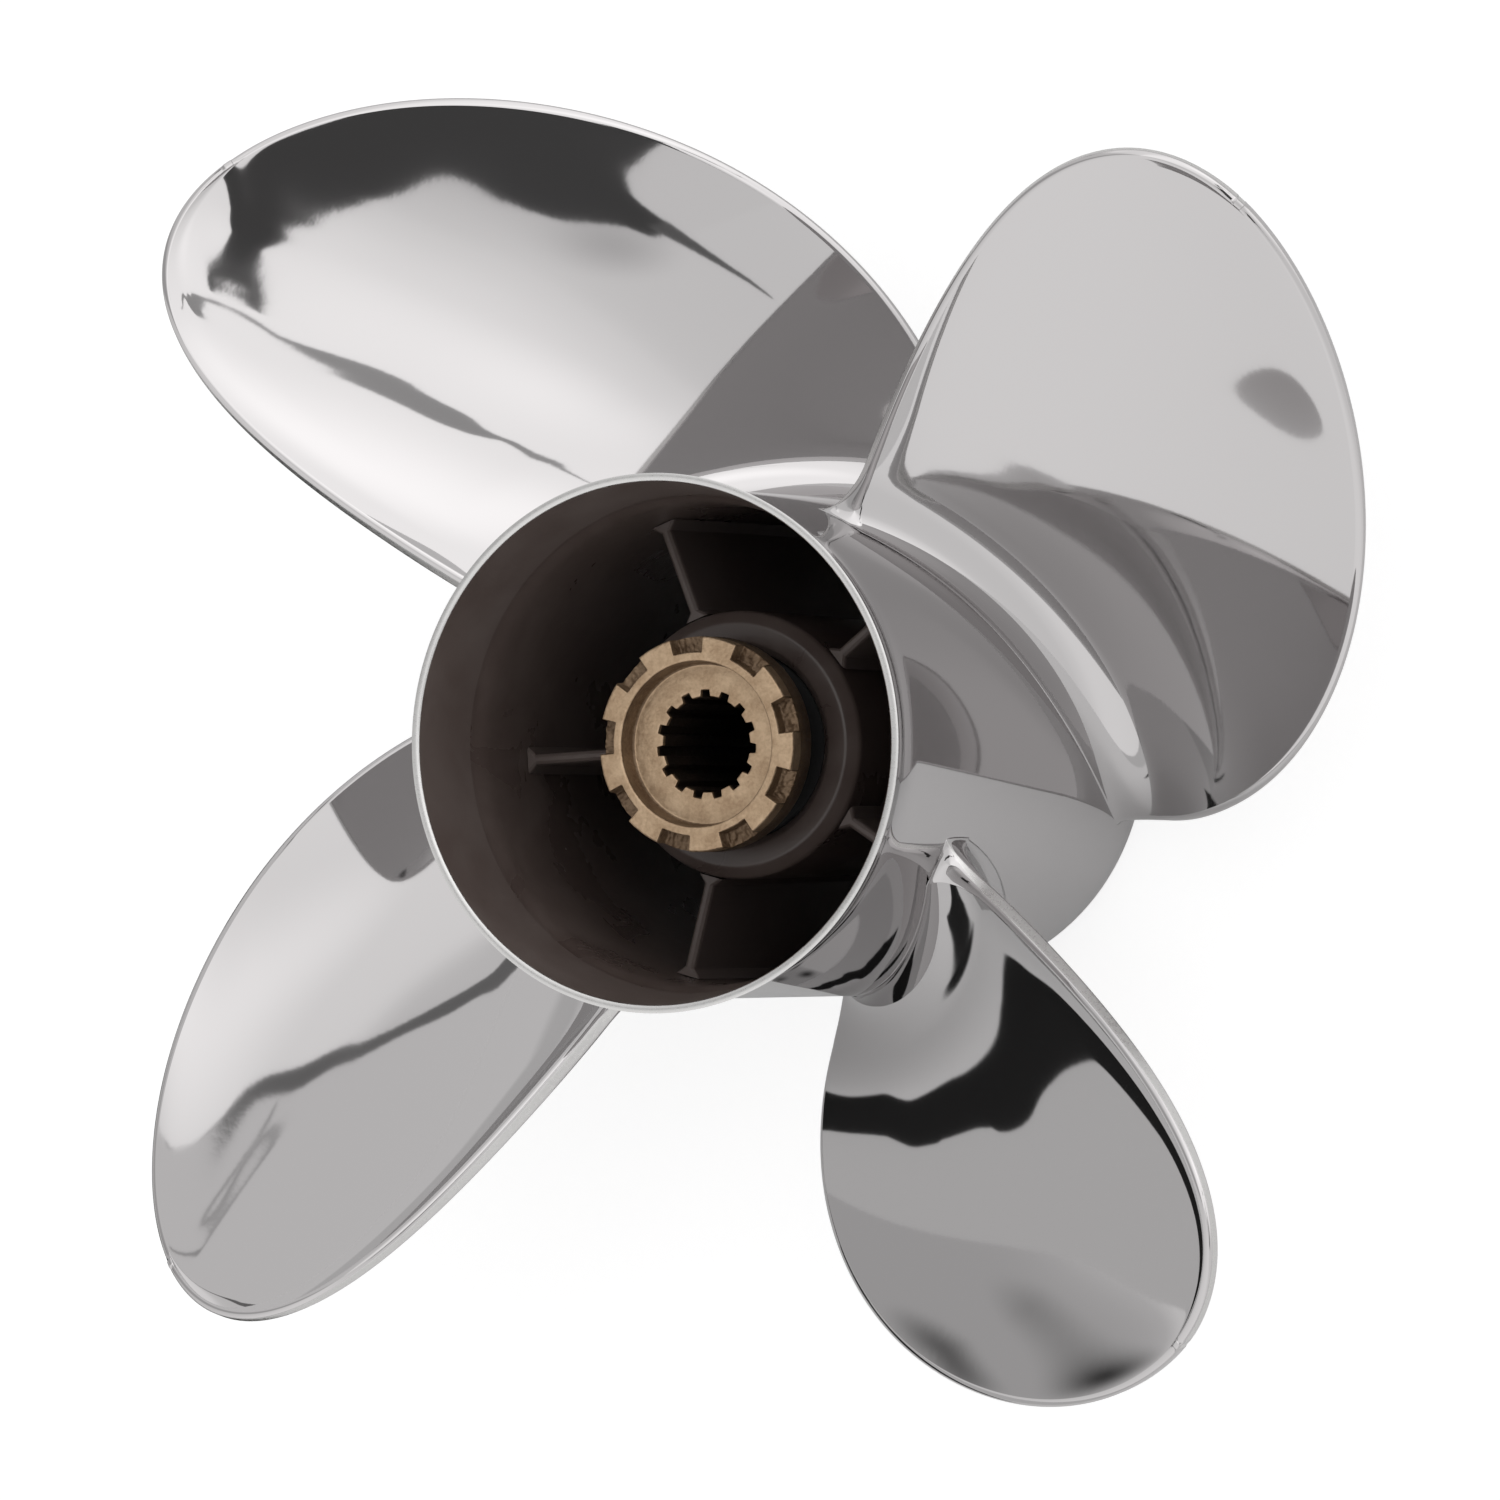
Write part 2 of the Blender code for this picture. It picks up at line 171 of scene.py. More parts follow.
# Hub skin: edges of the rim's land as (way across the land, drop), the wall behind the skin,
# and its way past the step as (out from the band, drop)
BARREL_ROWS = 24
FLARE_ROWS = 30
NOSE_EDGE = 0.0006
NOSE_MIDDLE_Z = 0.02
RIM_EDGE = 0.0004
LAND_OUTER_EDGE = ((0.0001, 0.00015), (0.0004, 0.0))
LAND_INNER_EDGE = ((0.0003, 0.0), (0.0, 0.0003))
SKIN_WALL = 0.0024
SKIN_WALL_DROP = 0.010
SKIN_PAST_STEP = ((0.0012, 0.0), (0.0003, 0.006))
SKIN_SHARP_DEG = 60

# Painted lining: its step as (out from the band, rise), and heights down the nose
LINING_THICKNESS = 0.0006
LINING_RIM_GAP = 0.0001
LINING_RIM_DROP = 0.0005
LINING_STEP = ((0.0006, 0.0016), (0.0001, -0.0004), (-0.0006, -0.0022))
LINING_WALL_DROP = 0.006
LINING_HEIGHTS = (0.045, 0.035, 0.025, 0.015, 0.008, 0.001)
LINING_SHARP_DEG = 40

# Inner hub: the lip of its bore, and how round each corner of its profile is
INNER_LIP_OUT = 0.0018
INNER_LIP_DROP = 0.0016
INNER_ROUNDING = (0.0008, 0.001, 0.001, 0.0006, 0.0004, 0.0004)

# Bush: grooves in shares of their pitch, and rings by part. A ring is (way in or out, rise or
# drop, finish), with finish 0 for a face, 1 for the shaded bronze, a darker copy that paints shade
# in the bore's mouth, on the recess's corner and wall and on the head's side and underside, and 2
# for the bore, painted near-black as shade. Rings of the notches' wall have a share of their
# depth, and those of the head's edge only a drop
BUSH_ANGLES = 720
BUSH_END_GAP = 0.001
# Drop below the recess floor from which the bore, down to its forward end, is painted near-black as shade
BORE_SHADE_DROP = 0.012
BORE_MOUTH = ((0.0, 0.0011, 1), (0.00003, 0.0004, 1), (0.00015, 0.0001, 0), (0.0004, 0.0, 0))
BORE_MOUTH_R = 0.0004
BUSH_TAPER_R = 0.0145
TAPER_SHARES = (0.25, 0.5, 0.75)
RECESS_CORNER = ((0.0009, 0.00004, 1), (0.0006, 0.00022, 1), (0.00035, 0.0006, 1))
RECESS_CORNER_R = 0.0013
RECESS_LIP = ((0.0001, 0.0008, 1), (0.00002, 0.0003, 0), (-0.00012, 0.0001, 0))
LAND_MARGIN = 0.0004
NOTCH_WALL = ((-0.0002, 0.0), (-0.00005, 0.15), (0.00005, 0.8), (0.00015, 1.0))
HEAD_EDGE = ((0.0003, 0.00008), (0.0001, 0.0003), (0.0, 0.0007))
HEAD_MARGIN = 0.0006
FLOOR_RINGS = 8
LAND_RINGS = 5
HEAD_RINGS = 7
GROOVE_MOUTH = 0.27
GROOVE_FLOOR = 0.19
NOTCH_SOFT_DEG = 0.35
NOTCH_SHADE_FROM = 0.04
CAST_LUMPS = (0.00006, 700.0)
NOTCH_LUMPS = (0.0005, 1100.0)
LUMPS_BELOW_FLOOR = 0.003
LUMPS_BLEND = 0.002
NOTCH_MARGIN = 0.0001

# Finishes: (colour, metal share, roughness), noises as (scale per metre, detail, roughness,
# distortion), bump heights in metres, and ranges of a noise or of roughness
STEEL = ((0.63, 0.612, 0.613), 1.0, 0.035)
STEEL_WAVES = (90.0, 1.0, 0.4)
STEEL_WAVE_HEIGHT = 0.0000015
STEEL_RIPPLE = (350.0, 2.0, 0.6)
STEEL_RIPPLE_HEIGHT = 0.000001
SATIN = ((0.74, 0.73, 0.72), 1.0, 0.3)
SATIN_GRAIN = (900.0, 3.0, 0.6)
SATIN_GRAIN_HEIGHT = 0.00002
SATIN_ROUGHNESS = (0.24, 0.36)
WIDE_RANGE = (0.3, 0.7)
MIDDLE_RANGE = (0.35, 0.65)
NARROW_RANGE = (0.38, 0.62)
PAINT_BLOTCHES = (45.0, 4.0, 0.6, 0.5)
PAINT_ROUGHNESS_SPREAD = 0.06
PAINT_SAG = (120.0, 2.0, 0.5)
PAINT_SAG_HEIGHT = 0.0001
PAINT_PEEL = (600.0, 3.0, 0.5)
PAINT_PEEL_HEIGHT = 0.00003
BRONZE_ROUGHNESS = 0.42
BRONZE_GRAIN = (1300.0, 3.0, 0.6)
BRONZE_TONE = (160.0, 4.0, 0.6)
BRONZE_TONE_SHARE = 0.6
BRONZE_ROUGHNESS_RANGE = (0.34, 0.55)
RUBBER = ((0.012, 0.012, 0.012), 0.0, 0.7)
RUBBER_GRAIN = (700.0, 3.0, 0.6)
RUBBER_GRAIN_HEIGHT = 0.00005

# Paints as (deep tone, pale tone, roughness), bronzes as (deep tone, pale tone, metal share,
# grain height). The lit paint is a lighter copy of the exhaust paint, painted light; the shaded
# bronze and the bore's bronze are darker copies of the cast bronze, painted shade
DEEP_PAINT = ((0.072, 0.052, 0.046), (0.098, 0.075, 0.067), 0.30)
LIT_PAINT = ((0.100, 0.076, 0.068), (0.122, 0.097, 0.088), 0.42)
FACE_BRONZE = ((0.42, 0.285, 0.175), (0.64, 0.47, 0.31), 0.75, 0.00011)
SHADED_BRONZE = ((0.12, 0.072, 0.039), (0.26, 0.175, 0.105), 0.5, 0.00016)
BORE_SHADE_BRONZE = ((0.012, 0.008, 0.006), (0.030, 0.020, 0.014), 0.3, 0.00005)

# Camera, as the photograph was taken: turned from the shaft, tilted and rolled
CAMERA_TURN_DEG = 25.424
CAMERA_TILT_DEG = -1.181
CAMERA_ROLL_DEG = -1.305
CAMERA_DISTANCE = 3.00635
CAMERA_TARGET = (0.025225, -0.002359, HUB_LENGTH)
FOCAL_PIXELS = 12867.3
FRAME_PIXELS = 1500
SENSOR_MM = 36.0
CAMERA_CLIP_END = 50.0

# Studio: how bright the room is to mirrors, by azimuth and elevation in degrees. Glows are
# (centre, reach, level)
BACKDROP_LEVEL = 0.98
CURVE_MARGIN = 0.001
FIRST_MIRROR_DEPTH = 1.5
DEEP_MIRROR_SHARE = 0.62
ROOM_BY_AZIMUTH = (
    (-180, 0.75), (-150, 0.85), (-130, 0.90), (-90, 0.95), (-60, 0.85), (-45, 0.80), (-20, 0.82),
    (-8, 0.95), (4, 1.10), (25, 1.25), (55, 1.30), (80, 1.05), (100, 0.98), (113, 0.95),
    (120, 0.72), (140, 0.68), (154, 0.46), (170, 0.46), (177, 0.52), (180, 0.75),
)
ROOM_GLOWS = (
    ((12, 37), (15, 11), 1.32),
    ((40, 30), (16, 26), 1.55),
    ((104, 33), (13, 10), 1.25),
    ((-24, 48.4), (12, 2.8), 0.58),
    ((166.5, 5.4), (4.6, 1.5), 0.14),
    ((175, 2.4), (5.0, 2.8), 0.05),
)

# Dark panels as (azimuth, lower elevation, upper elevation)
CAMERA_FLAG = (
    (-45, 48.6, 60), (-31, 48.2, 60), (-28, 49.1, 60), (-24.5, 49.6, 60), (-22, 49.85, 60),
    (-20, 50.25, 60), (-17, 50.45, 60), (-11, 50.5, 60), (-8, 50.25, 58), (-4, 49.75, 56), (0, 49.0, 53),
    (3, 48.25, 52), (6, 47.7, 52), (9, 46.8, 51), (12, 46.4, 50), (13, 45.9, 49.5), (14.2, 45.2, 49),
    (16.3, 44.0, 46.2), (17.6, 43.2, 44.1), (18.2, 42.8, 43.5), (19.4, 42.1, 42.8), (20.2, 41.6, 42.0),
)
SMALL_FLAG = (
    (108.2, 27.5, 27.8), (108.8, 27.65, 27.95), (109.2, 28.1, 28.35), (110.2, 28.55, 28.8),
    (111.5, 28.85, 29.1), (113, 29.0, 29.2),
)

# Seams between the sheets as (elevation, lower azimuth, upper azimuth)
LIGHT_PATCH = (
    (47.8, -60, -34.6), (49.2, -60, -33.7), (50, -60, -33.4), (50.5, -60, -34.1), (51, -60, -35.2),
    (51.5, -60, -37.8), (52.5, -60, -41),
)
FLAG_TAIL = ((42.3, -38.7, -38.4), (44, -37.7, -36.9), (46, -36.1, -34.6), (48.8, -34.2, -31.0))
RIGHT_SEAM = (
    (25.2, 24.5, 24.7), (27, 23.8, 24.2), (28.8, 22.1, 23.1), (30.8, 21.4, 22.4), (31.6, 21.8, 23.4),
    (32.5, 22.1, 24.6), (34.3, 21.6, 25.2), (36, 21.9, 25.1), (37.5, 21.5, 23.8), (38.6, 21.5, 22.9),
    (39.7, 21.6, 22.1), (41, 21.4, 21.9), (41.7, 21.3, 21.5),
)
BACK_SEAM = (
    (-4, 125.0, 127.5), (1, 122.8, 124.8), (3.2, 122.2, 123.7), (6.8, 121.3, 122.7), (11, 120.0, 121.0),
    (15.7, 117.3, 118.3), (20, 113.5, 114.8), (23.3, 111.1, 112.6), (26, 109.2, 110.2), (27.5, 108.0, 108.4),
)
BACK_WALL = (
    (-5, 128, 142), (1, 124, 142), (6.8, 122, 142), (11, 120.5, 142), (15.7, 117.8, 142), (20, 114.1, 142),
    (23.3, 111.9, 142), (26, 109.7, 142), (27.6, 108.3, 142), (28.9, 111, 142), (29.3, 113, 142),
)
BACK_LINE = (
    (21.5, 115.9, 116.5), (21.8, 115.4, 115.8), (22.8, 114.3, 114.6), (23.4, 113.8, 114.1),
    (23.8, 112.8, 113.4), (24.0, 112.3, 112.6),
)
BACK_HOOK = ((21.5, 116.3, 116.8), (22.8, 116.2, 116.5), (24.7, 116.8, 117.1))

# Panels and seams, in the order that they cover each other, as (shape, softness, level)
ROOM_PANELS = (
    (CAMERA_FLAG, 0.05, 0.065),
    (SMALL_FLAG, 0.06, 0.3),
)
ROOM_SEAMS = (
    (BACK_WALL, 0.3, 0.70),
    (BACK_LINE, 0.08, 0.33),
    (LIGHT_PATCH, 0.06, 0.78),
    (FLAG_TAIL, 0.08, 0.12),
    (RIGHT_SEAM, 0.12, 0.38),
    (BACK_SEAM, 0.12, 0.16),
    (BACK_HOOK, 0.08, 0.33),
)

# Floor levels, and the dark gap at the sheet's left edge as (y, from x, to x)
FLOOR_HALF_SIZE = 3.0
FLOOR_SEEN = 0.45
FLOOR_GLOW = 0.70
FLOOR_MIRRORED = 0.78
FLOOR_BEYOND = 0.62
BEYOND_X = (-0.30, -0.26)
BEYOND_TILT = 0.5
BEYOND_BLEND = 0.05
FLOOR_FINISH = ((0.7, 0.7, 0.7), 0.0, 0.7)
GAP_SOFT = 0.004
GAP_LEVEL = 0.02
FLOOR_GAP = (
    (-0.30, -0.31, -0.140), (-0.20, -0.36, -0.168), (-0.16, -0.33, -0.165), (-0.14, -0.345, -0.156),
    (-0.12, -0.42, -0.155), (-0.11, -0.43, -0.178), (-0.09, -0.38, -0.212), (-0.07, -0.36, -0.203),
    (-0.056, -0.36, -0.204), (-0.045, -0.37, -0.168), (-0.030, -0.37, -0.163), (-0.018, -0.30, -0.130),
    (0.0, -0.29, -0.10), (0.06, -0.33, -0.12),
)


def smooth(value):
    """A smooth step from 0 to 1."""
    value = np.clip(value, 0.0, 1.0)
    return value * value * (3 - 2 * value)


def polynomial(coefficients, s):
    """The value at s of a polynomial with rising powers."""
    return sum(value * s ** power for power, value in enumerate(coefficients))


def polar(radius, angle, height):
    """Points at an angle (radians) around the shaft."""
    parts = np.broadcast_arrays(radius * np.cos(angle), radius * np.sin(angle), height)
    return np.stack(parts, axis=-1)


def new_object(name, data):
    """An object in the scene, made from its data."""
    made = bpy.data.objects.new(name, data)
    bpy.context.scene.collection.objects.link(made)
    return made


def add_object(name, points, faces, finishes, face_finish=None, sharp_deg=None):
    """A mesh object from points and faces, smooth shaded, riding on the part's one body."""
    mesh = bpy.data.meshes.new(name)
    mesh.from_pydata([tuple(point) for point in points], [], faces)
    for finish in finishes:
        mesh.materials.append(finish)
    if face_finish is not None:
        mesh.polygons.foreach_set("material_index", np.asarray(face_finish, dtype=np.int32))
    bm = bmesh.new()
    bm.from_mesh(mesh)
    bmesh.ops.recalc_face_normals(bm, faces=bm.faces)
    bm.to_mesh(mesh)
    bm.free()
    mesh.shade_smooth()
    if sharp_deg is not None:
        mesh.set_sharp_from_angle(angle=math.radians(sharp_deg))
    made = new_object(name, mesh)
    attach(made, "root")
    return made


def grid_faces(index, wrap=False):
    """Quads over a 2-D array of vertex numbers, without those that shrink to nothing."""
    rows, columns = index.shape
    last = columns if wrap else columns - 1
    faces = []
    for i in range(rows - 1):
        for j in range(last):
            k = (j + 1) % columns
            quad = (index[i, j], index[i, k], index[i + 1, k], index[i + 1, j])
            kept = []
            for number in quad:
                if int(number) not in kept:
                    kept.append(int(number))
            if len(kept) > 2:
                faces.append(tuple(kept))
    return faces


def barrel_outer(z):
    """Outer radius of the hub at a height: nose, waist, flare."""
    flare_start = HUB_LENGTH - FLARE_LENGTH
    nose = WAIST_R - (WAIST_R - NOSE_R) * (1 - np.maximum(z, 0.0) / NOSE_LENGTH) ** 2
    flare = WAIST_R + (RIM_R - WAIST_R) * (np.maximum(z - flare_start, 0.0) / FLARE_LENGTH) ** 2
    return np.where(z < NOSE_LENGTH, nose, flare)


def edge_thickness(s, u):
    """Thickness that the blade's edges have, shared across the chord."""
    trailing = TRAILING_ROOT_THICKNESS + (TRAILING_TIP_THICKNESS - TRAILING_ROOT_THICKNESS) * s
    near_tip = smooth((s - TIP_THICKNESS_FROM) / (1 - TIP_THICKNESS_FROM))
    trailing = trailing + (TIP_EDGE_THICKNESS - trailing) * near_tip
    leading = LEADING_THICKNESS + (TIP_EDGE_THICKNESS - LEADING_THICKNESS) * near_tip
    return leading + (trailing - leading) * smooth((u + 1) / 2)


def bulge(s, u):
    """Thickness that the middle of a section has over its edges, u from -1 to 1."""
    return (ROOT_BULGE * (1 - s) ** BULGE_FADE + TIP_BULGE) * (1 - u * u)


def half_thickness(s, u):
    """Half the blade's thickness at a station, u from -1 (leading) to 1 (trailing)."""
    return (edge_thickness(s, u) + bulge(s, u)) / 2


def camber(s, u, half_length):
    """Height of the section's middle line, for an aft face that is hollow and cupped."""
    depth = HOLLOW + 4 * HOLLOW_RISE * s * (1 - s) + HOLLOW_LEAN * u
    hollow = -depth * (1 - u * u) * (1 - s ** HOLLOW_FADE)
    from_edge = (1 - u) * half_length / CUP_WIDTH
    strength = CUP_HEIGHT * smooth(s / CUP_FULL_FROM) * (1 - s ** CUP_FADE)
    lip = strength * np.maximum(0.0, 1 - from_edge) ** 2
    return hollow + lip - strength * (1 + u) / 2 - bulge(s, u) / 2


def section(s):
    """Radius, lead, slope of the chord, and true half length of the section at s."""
    radius = ROOT_R + (TIP_R - ROOT_R) * s
    lead = polynomial(PITCH, s) / math.tau
    slope = np.arctan2(lead, radius)
    opening = np.sqrt(np.maximum(0.0, 1 - np.maximum(s, 0.0) ** TIP_FULLNESS))
    half_length = np.radians(polynomial(HALF_CHORD_DEG, s)) * opening * np.hypot(radius, lead)
    return radius, lead, slope, half_length


def place(first, s, chordwise, offset):
    """A point of a section, by its way along the chord and its offset from it."""
    radius, _, slope, _ = section(s)
    rise = radius - ROOT_R
    middle_z = ROOT_MID_Z + RAKE_SLOPE * rise + RAKE_CURVE * rise * rise
    angle = np.radians(polynomial(SKEW_DEG, s))
    angle = angle + (chordwise * np.cos(slope) - offset * np.sin(slope)) / radius
    z = middle_z + chordwise * np.sin(slope) + offset * np.cos(slope)
    seat = barrel_outer(z) - ROOT_R
    radius = radius + seat * np.maximum(0.0, 1 - s / ROOT_BLEND) ** 2
    return polar(radius, angle + first, z)


def edge_shape(s, end):
    """Corner sizes of the leading (end -1) or trailing edge at s, each as a column."""
    sizes = LEADING_EDGE if end < 0 else TRAILING_EDGE
    near_tip = smooth((np.atleast_1d(s) - TIP_EDGE_FROM) / (1 - TIP_EDGE_FROM))[:, None]
    return [own + (tip - own) * near_tip for own, tip in zip(sizes, TIP_EDGE)]


def outward(line, across, chord):
    """Unit directions square to an edge line and to its thickness, away from the blade."""
    out = np.cross(np.gradient(line, axis=0), across)
    out /= np.linalg.norm(out, axis=-1, keepdims=True)
    return out * np.sign((out * chord).sum(-1).mean())


def inset_half_chord(s, end):
    """Half chord of a face at s, up to where it starts to round over toward one edge."""
    fine = 1 - np.linspace(1.0, 0.0, OUTLINE_POINTS) ** 2
    half = section(fine)[3]
    middle = camber(fine, end, half)
    line = place(0.0, fine, end * half, middle)
    across = place(0.0, fine, end * half, middle + SMALL_STEP) - line
    chord = place(0.0, fine, end * (half + SMALL_STEP), middle) - line
    out = outward(line, across, chord)
    size = edge_shape(fine, end)[0]
    base = line - out * size
    radius = np.hypot(base[:, 0], base[:, 1])
    share = (radius - ROOT_R) / (TIP_R - ROOT_R)
    _, _, slope, _ = section(share)
    turn = np.arctan2(base[:, 1], base[:, 0]) - np.radians(polynomial(SKEW_DEG, share))
    along = end * (turn * radius + middle * np.sin(slope)) / np.cos(slope)
    order = np.argsort(share)
    exact = np.interp(s, share[order], along[order])
    plain = section(s)[3] - edge_shape(s, end)[0][:, 0]
    blend = smooth((s - INSET_BLEND[0]) / (INSET_BLEND[1] - INSET_BLEND[0]))
    return np.maximum(plain + (exact - plain) * blend, 0.0)


def blade_stations():
    """Rows from root to tip: along the fillet's arc, then closing up at the tip.

    Returns s and the fillet's arc angle of each row (a quarter turn where there is none).
    """
    inner_tip = 1 - TIP_EDGE[0] / (TIP_R - ROOT_R)
    arc = np.linspace(0.0, math.pi / 2, FILLET_ROWS)
    fillet = FILLET_R * (1 - np.cos(arc)) / (TIP_R - ROOT_R)
    steps = np.arange(1, BLADE_ROWS + 1) / (BLADE_ROWS + 0.5)
    start = fillet[-1]
    rest = start + (inner_tip - start) * (1 - (1 - steps) ** 2)
    stations = np.concatenate([fillet, rest])
    arcs = np.concatenate([arc, np.full(len(rest), math.pi / 2)])
    return stations, arcs


def blade_columns():
    """Places across the chord from -1 to 1, crowded near both edges."""
    even = np.linspace(-1.0, 1.0, COLUMNS + 1)
    return COLUMN_CROWDING * np.sin(math.pi / 2 * even) + (1 - COLUMN_CROWDING) * even


def edge_steps():
    """Steps over a blade's edge, each as (side, turn of the surface in radians).

    Side 1 is the aft corner's arc, -1 the forward one's, between them lies the band.
    """
    steps = []
    for k in range(1, EDGE_STEPS + 1):
        steps.append((1.0, math.pi / 2 * k / EDGE_STEPS))
    for k in range(1, BAND_STEPS + 1):
        steps.append((1 - 2 * k / (BAND_STEPS + 1), math.pi / 2))
    for k in range(EDGE_STEPS, -1, -1):
        steps.append((-1.0, math.pi - math.pi / 2 * k / EDGE_STEPS))
    return steps


def edge_way(shape, half, step):
    """Way out and height over the middle of one step, for a shape of corner sizes.

    The shape is how far out the aft corner rounds, how far down, and the same for the
    forward corner. Half is half the thickness of the edge.
    """
    side, turn = step
    aft_out, aft_down, forward_out, forward_down = shape
    aft_down = np.minimum(aft_down, half)
    forward_down = np.minimum(forward_down, half * FORWARD_CORNER_MOST)
    if side == 1:
        return aft_out * math.sin(turn), half - aft_down * (1 - math.cos(turn))
    if side == -1:
        return aft_out - forward_out * (1 - math.sin(turn)), forward_down * (1 + math.cos(turn)) - half
    top = half - aft_down
    bottom = forward_down - half
    return aft_out, bottom + (top - bottom) * (side + 1) / 2


def over_edge(aft, forward, out, shape, steps):
    """Points over the edge between an aft and a forward edge point, both (..., 3)."""
    across = aft - forward
    width = np.linalg.norm(across, axis=-1, keepdims=True)
    across = across / width
    middle = (aft + forward) / 2
    made = []
    for step in steps:
        way, height = edge_way(shape, width / 2, step)
        made.append(middle + out * way + across * height)
    return np.stack(made, axis=-2)


def polishing(index, points):
    """How far hand polishing moved one blade's aft face, over points of that face."""
    height = np.zeros(points.shape[:-1])
    for centre, forms, reach in POLISHED_TWISTS.get(index, ()):
        x = points[..., 0] - centre[0]
        y = points[..., 1] - centre[1]
        fading = np.exp(-(x * x + y * y) / reach ** 2)
        height += (forms[0] * x * x + forms[1] * x * y + forms[2] * y * y) * fading
    for centre, length, depth, width in POLISHED_HOLLOWS.get(index, ()):
        across = np.exp(-((points[..., 0] - centre[0]) / width) ** 2)
        height -= depth * across * np.exp(-((points[..., 1] - centre[1]) / length) ** 4)
    return height


def blade_skin(index, steel, satin):
    """One blade's whole surface: faces, rounded edges, root fillet and a hidden foot."""
    first = math.radians(BLADE_FIRST_DEG - index * 360.0 / BLADE_COUNT)
    stations, arcs = blade_stations()
    columns = blade_columns()
    s = stations[:, None]
    u = columns[None, :]
    half_length = section(s)[3]
    leading_half = inset_half_chord(stations, -1)[:, None]
    trailing_half = inset_half_chord(stations, 1)[:, None]
    chordwise = u * np.where(u < 0, leading_half, trailing_half)
    true_u = np.clip(chordwise / np.maximum(half_length, TINY), -1, 1)
    middle = camber(s, true_u, half_length)
    thick = half_thickness(s, true_u)

    # Hand polishing leaves shallow hollows and twists, and a lip along the trailing edge
    wave = polishing(index, place(first, s, chordwise, middle + thick))
    near_edge = np.clip(1 - (trailing_half - chordwise) / CURL_REACH, 0.0, 1.0)
    wave = wave + CURL_HEIGHT * near_edge ** 2 * smooth(s / CURL_FULL_FROM)

    # The fillet spreads the foot of each section sideways and along the chord
    spread = FILLET_R * (1 - np.sin(arcs))[:, None]
    at_end = np.where(u < 0, FILLET_AT_LEADING, TAIL_SIDE)
    side_share = 1 - (1 - at_end) * u ** 2
    sides = []
    for side in (1, -1):
        offset = middle + side * (thick + spread * side_share) + wave * (side + 1) / 2
        sides.append(place(first, s, chordwise, offset))
    aft, forward = sides

    # Rounded edges, square to the outline, and swept along the chord in the fillet
    steps = edge_steps()
    edges = {}
    low = arcs < math.pi / 2 - TINY
    for end, column in ((-1, 0), (1, -1)):
        shape = edge_shape(stations, end)
        along = chordwise[:, column]
        upper = place(first, stations, along, (middle + thick + wave)[:, column])
        lower = place(first, stations, along, (middle - thick)[:, column])
        chord = place(first, stations, along + end * SMALL_STEP, middle[:, column])
        chord = chord - place(first, stations, along, middle[:, column])
        out = outward((upper + lower) / 2, upper - lower, chord)
        edges[end] = over_edge(upper, lower, out, shape, steps)
        for row in np.flatnonzero(low):
            edges[end][row] = fillet_edge(
                first, stations[row], arcs[row], end, [size[row, 0] for size in shape],
                along[row], middle[row, column], thick[row, column], steps,
            )
    finish_blade(index, aft, forward, edges, steps, (steel, satin))


def fillet_edge(first, s, arc, end, shape, chordwise, middle, thick, steps):
    """Points over a section's end inside the root fillet, where it runs out into the hub."""
    spread = FILLET_R * (1 - math.sin(arc))
    lying = 1 - arc / (math.pi / 2)
    if end < 0:
        side_share, reach, power = FILLET_AT_LEADING, FILLET_AT_LEADING, 1.0
        flat = thick
    else:
        side_share, reach = TAIL_SIDE, TAIL_REACH
        power = 1 + (TAIL_POINT - 1) * lying
        flat = thick * (1 - TAIL_THINNING * lying)
    made = []
    for step in steps:
        turn = step[1]
        cosine = math.copysign(abs(math.cos(turn)) ** power, math.cos(turn))
        sine = math.sin(turn) ** power
        blend = abs(math.cos(turn))
        way, height = edge_way(shape, flat * (1 - blend) + thick * blend, step)
        offset = middle + height + spread * side_share * cosine
        along = chordwise + end * (way + spread * reach * sine)
        made.append(place(first, s, along, offset))
    return np.stack(made)


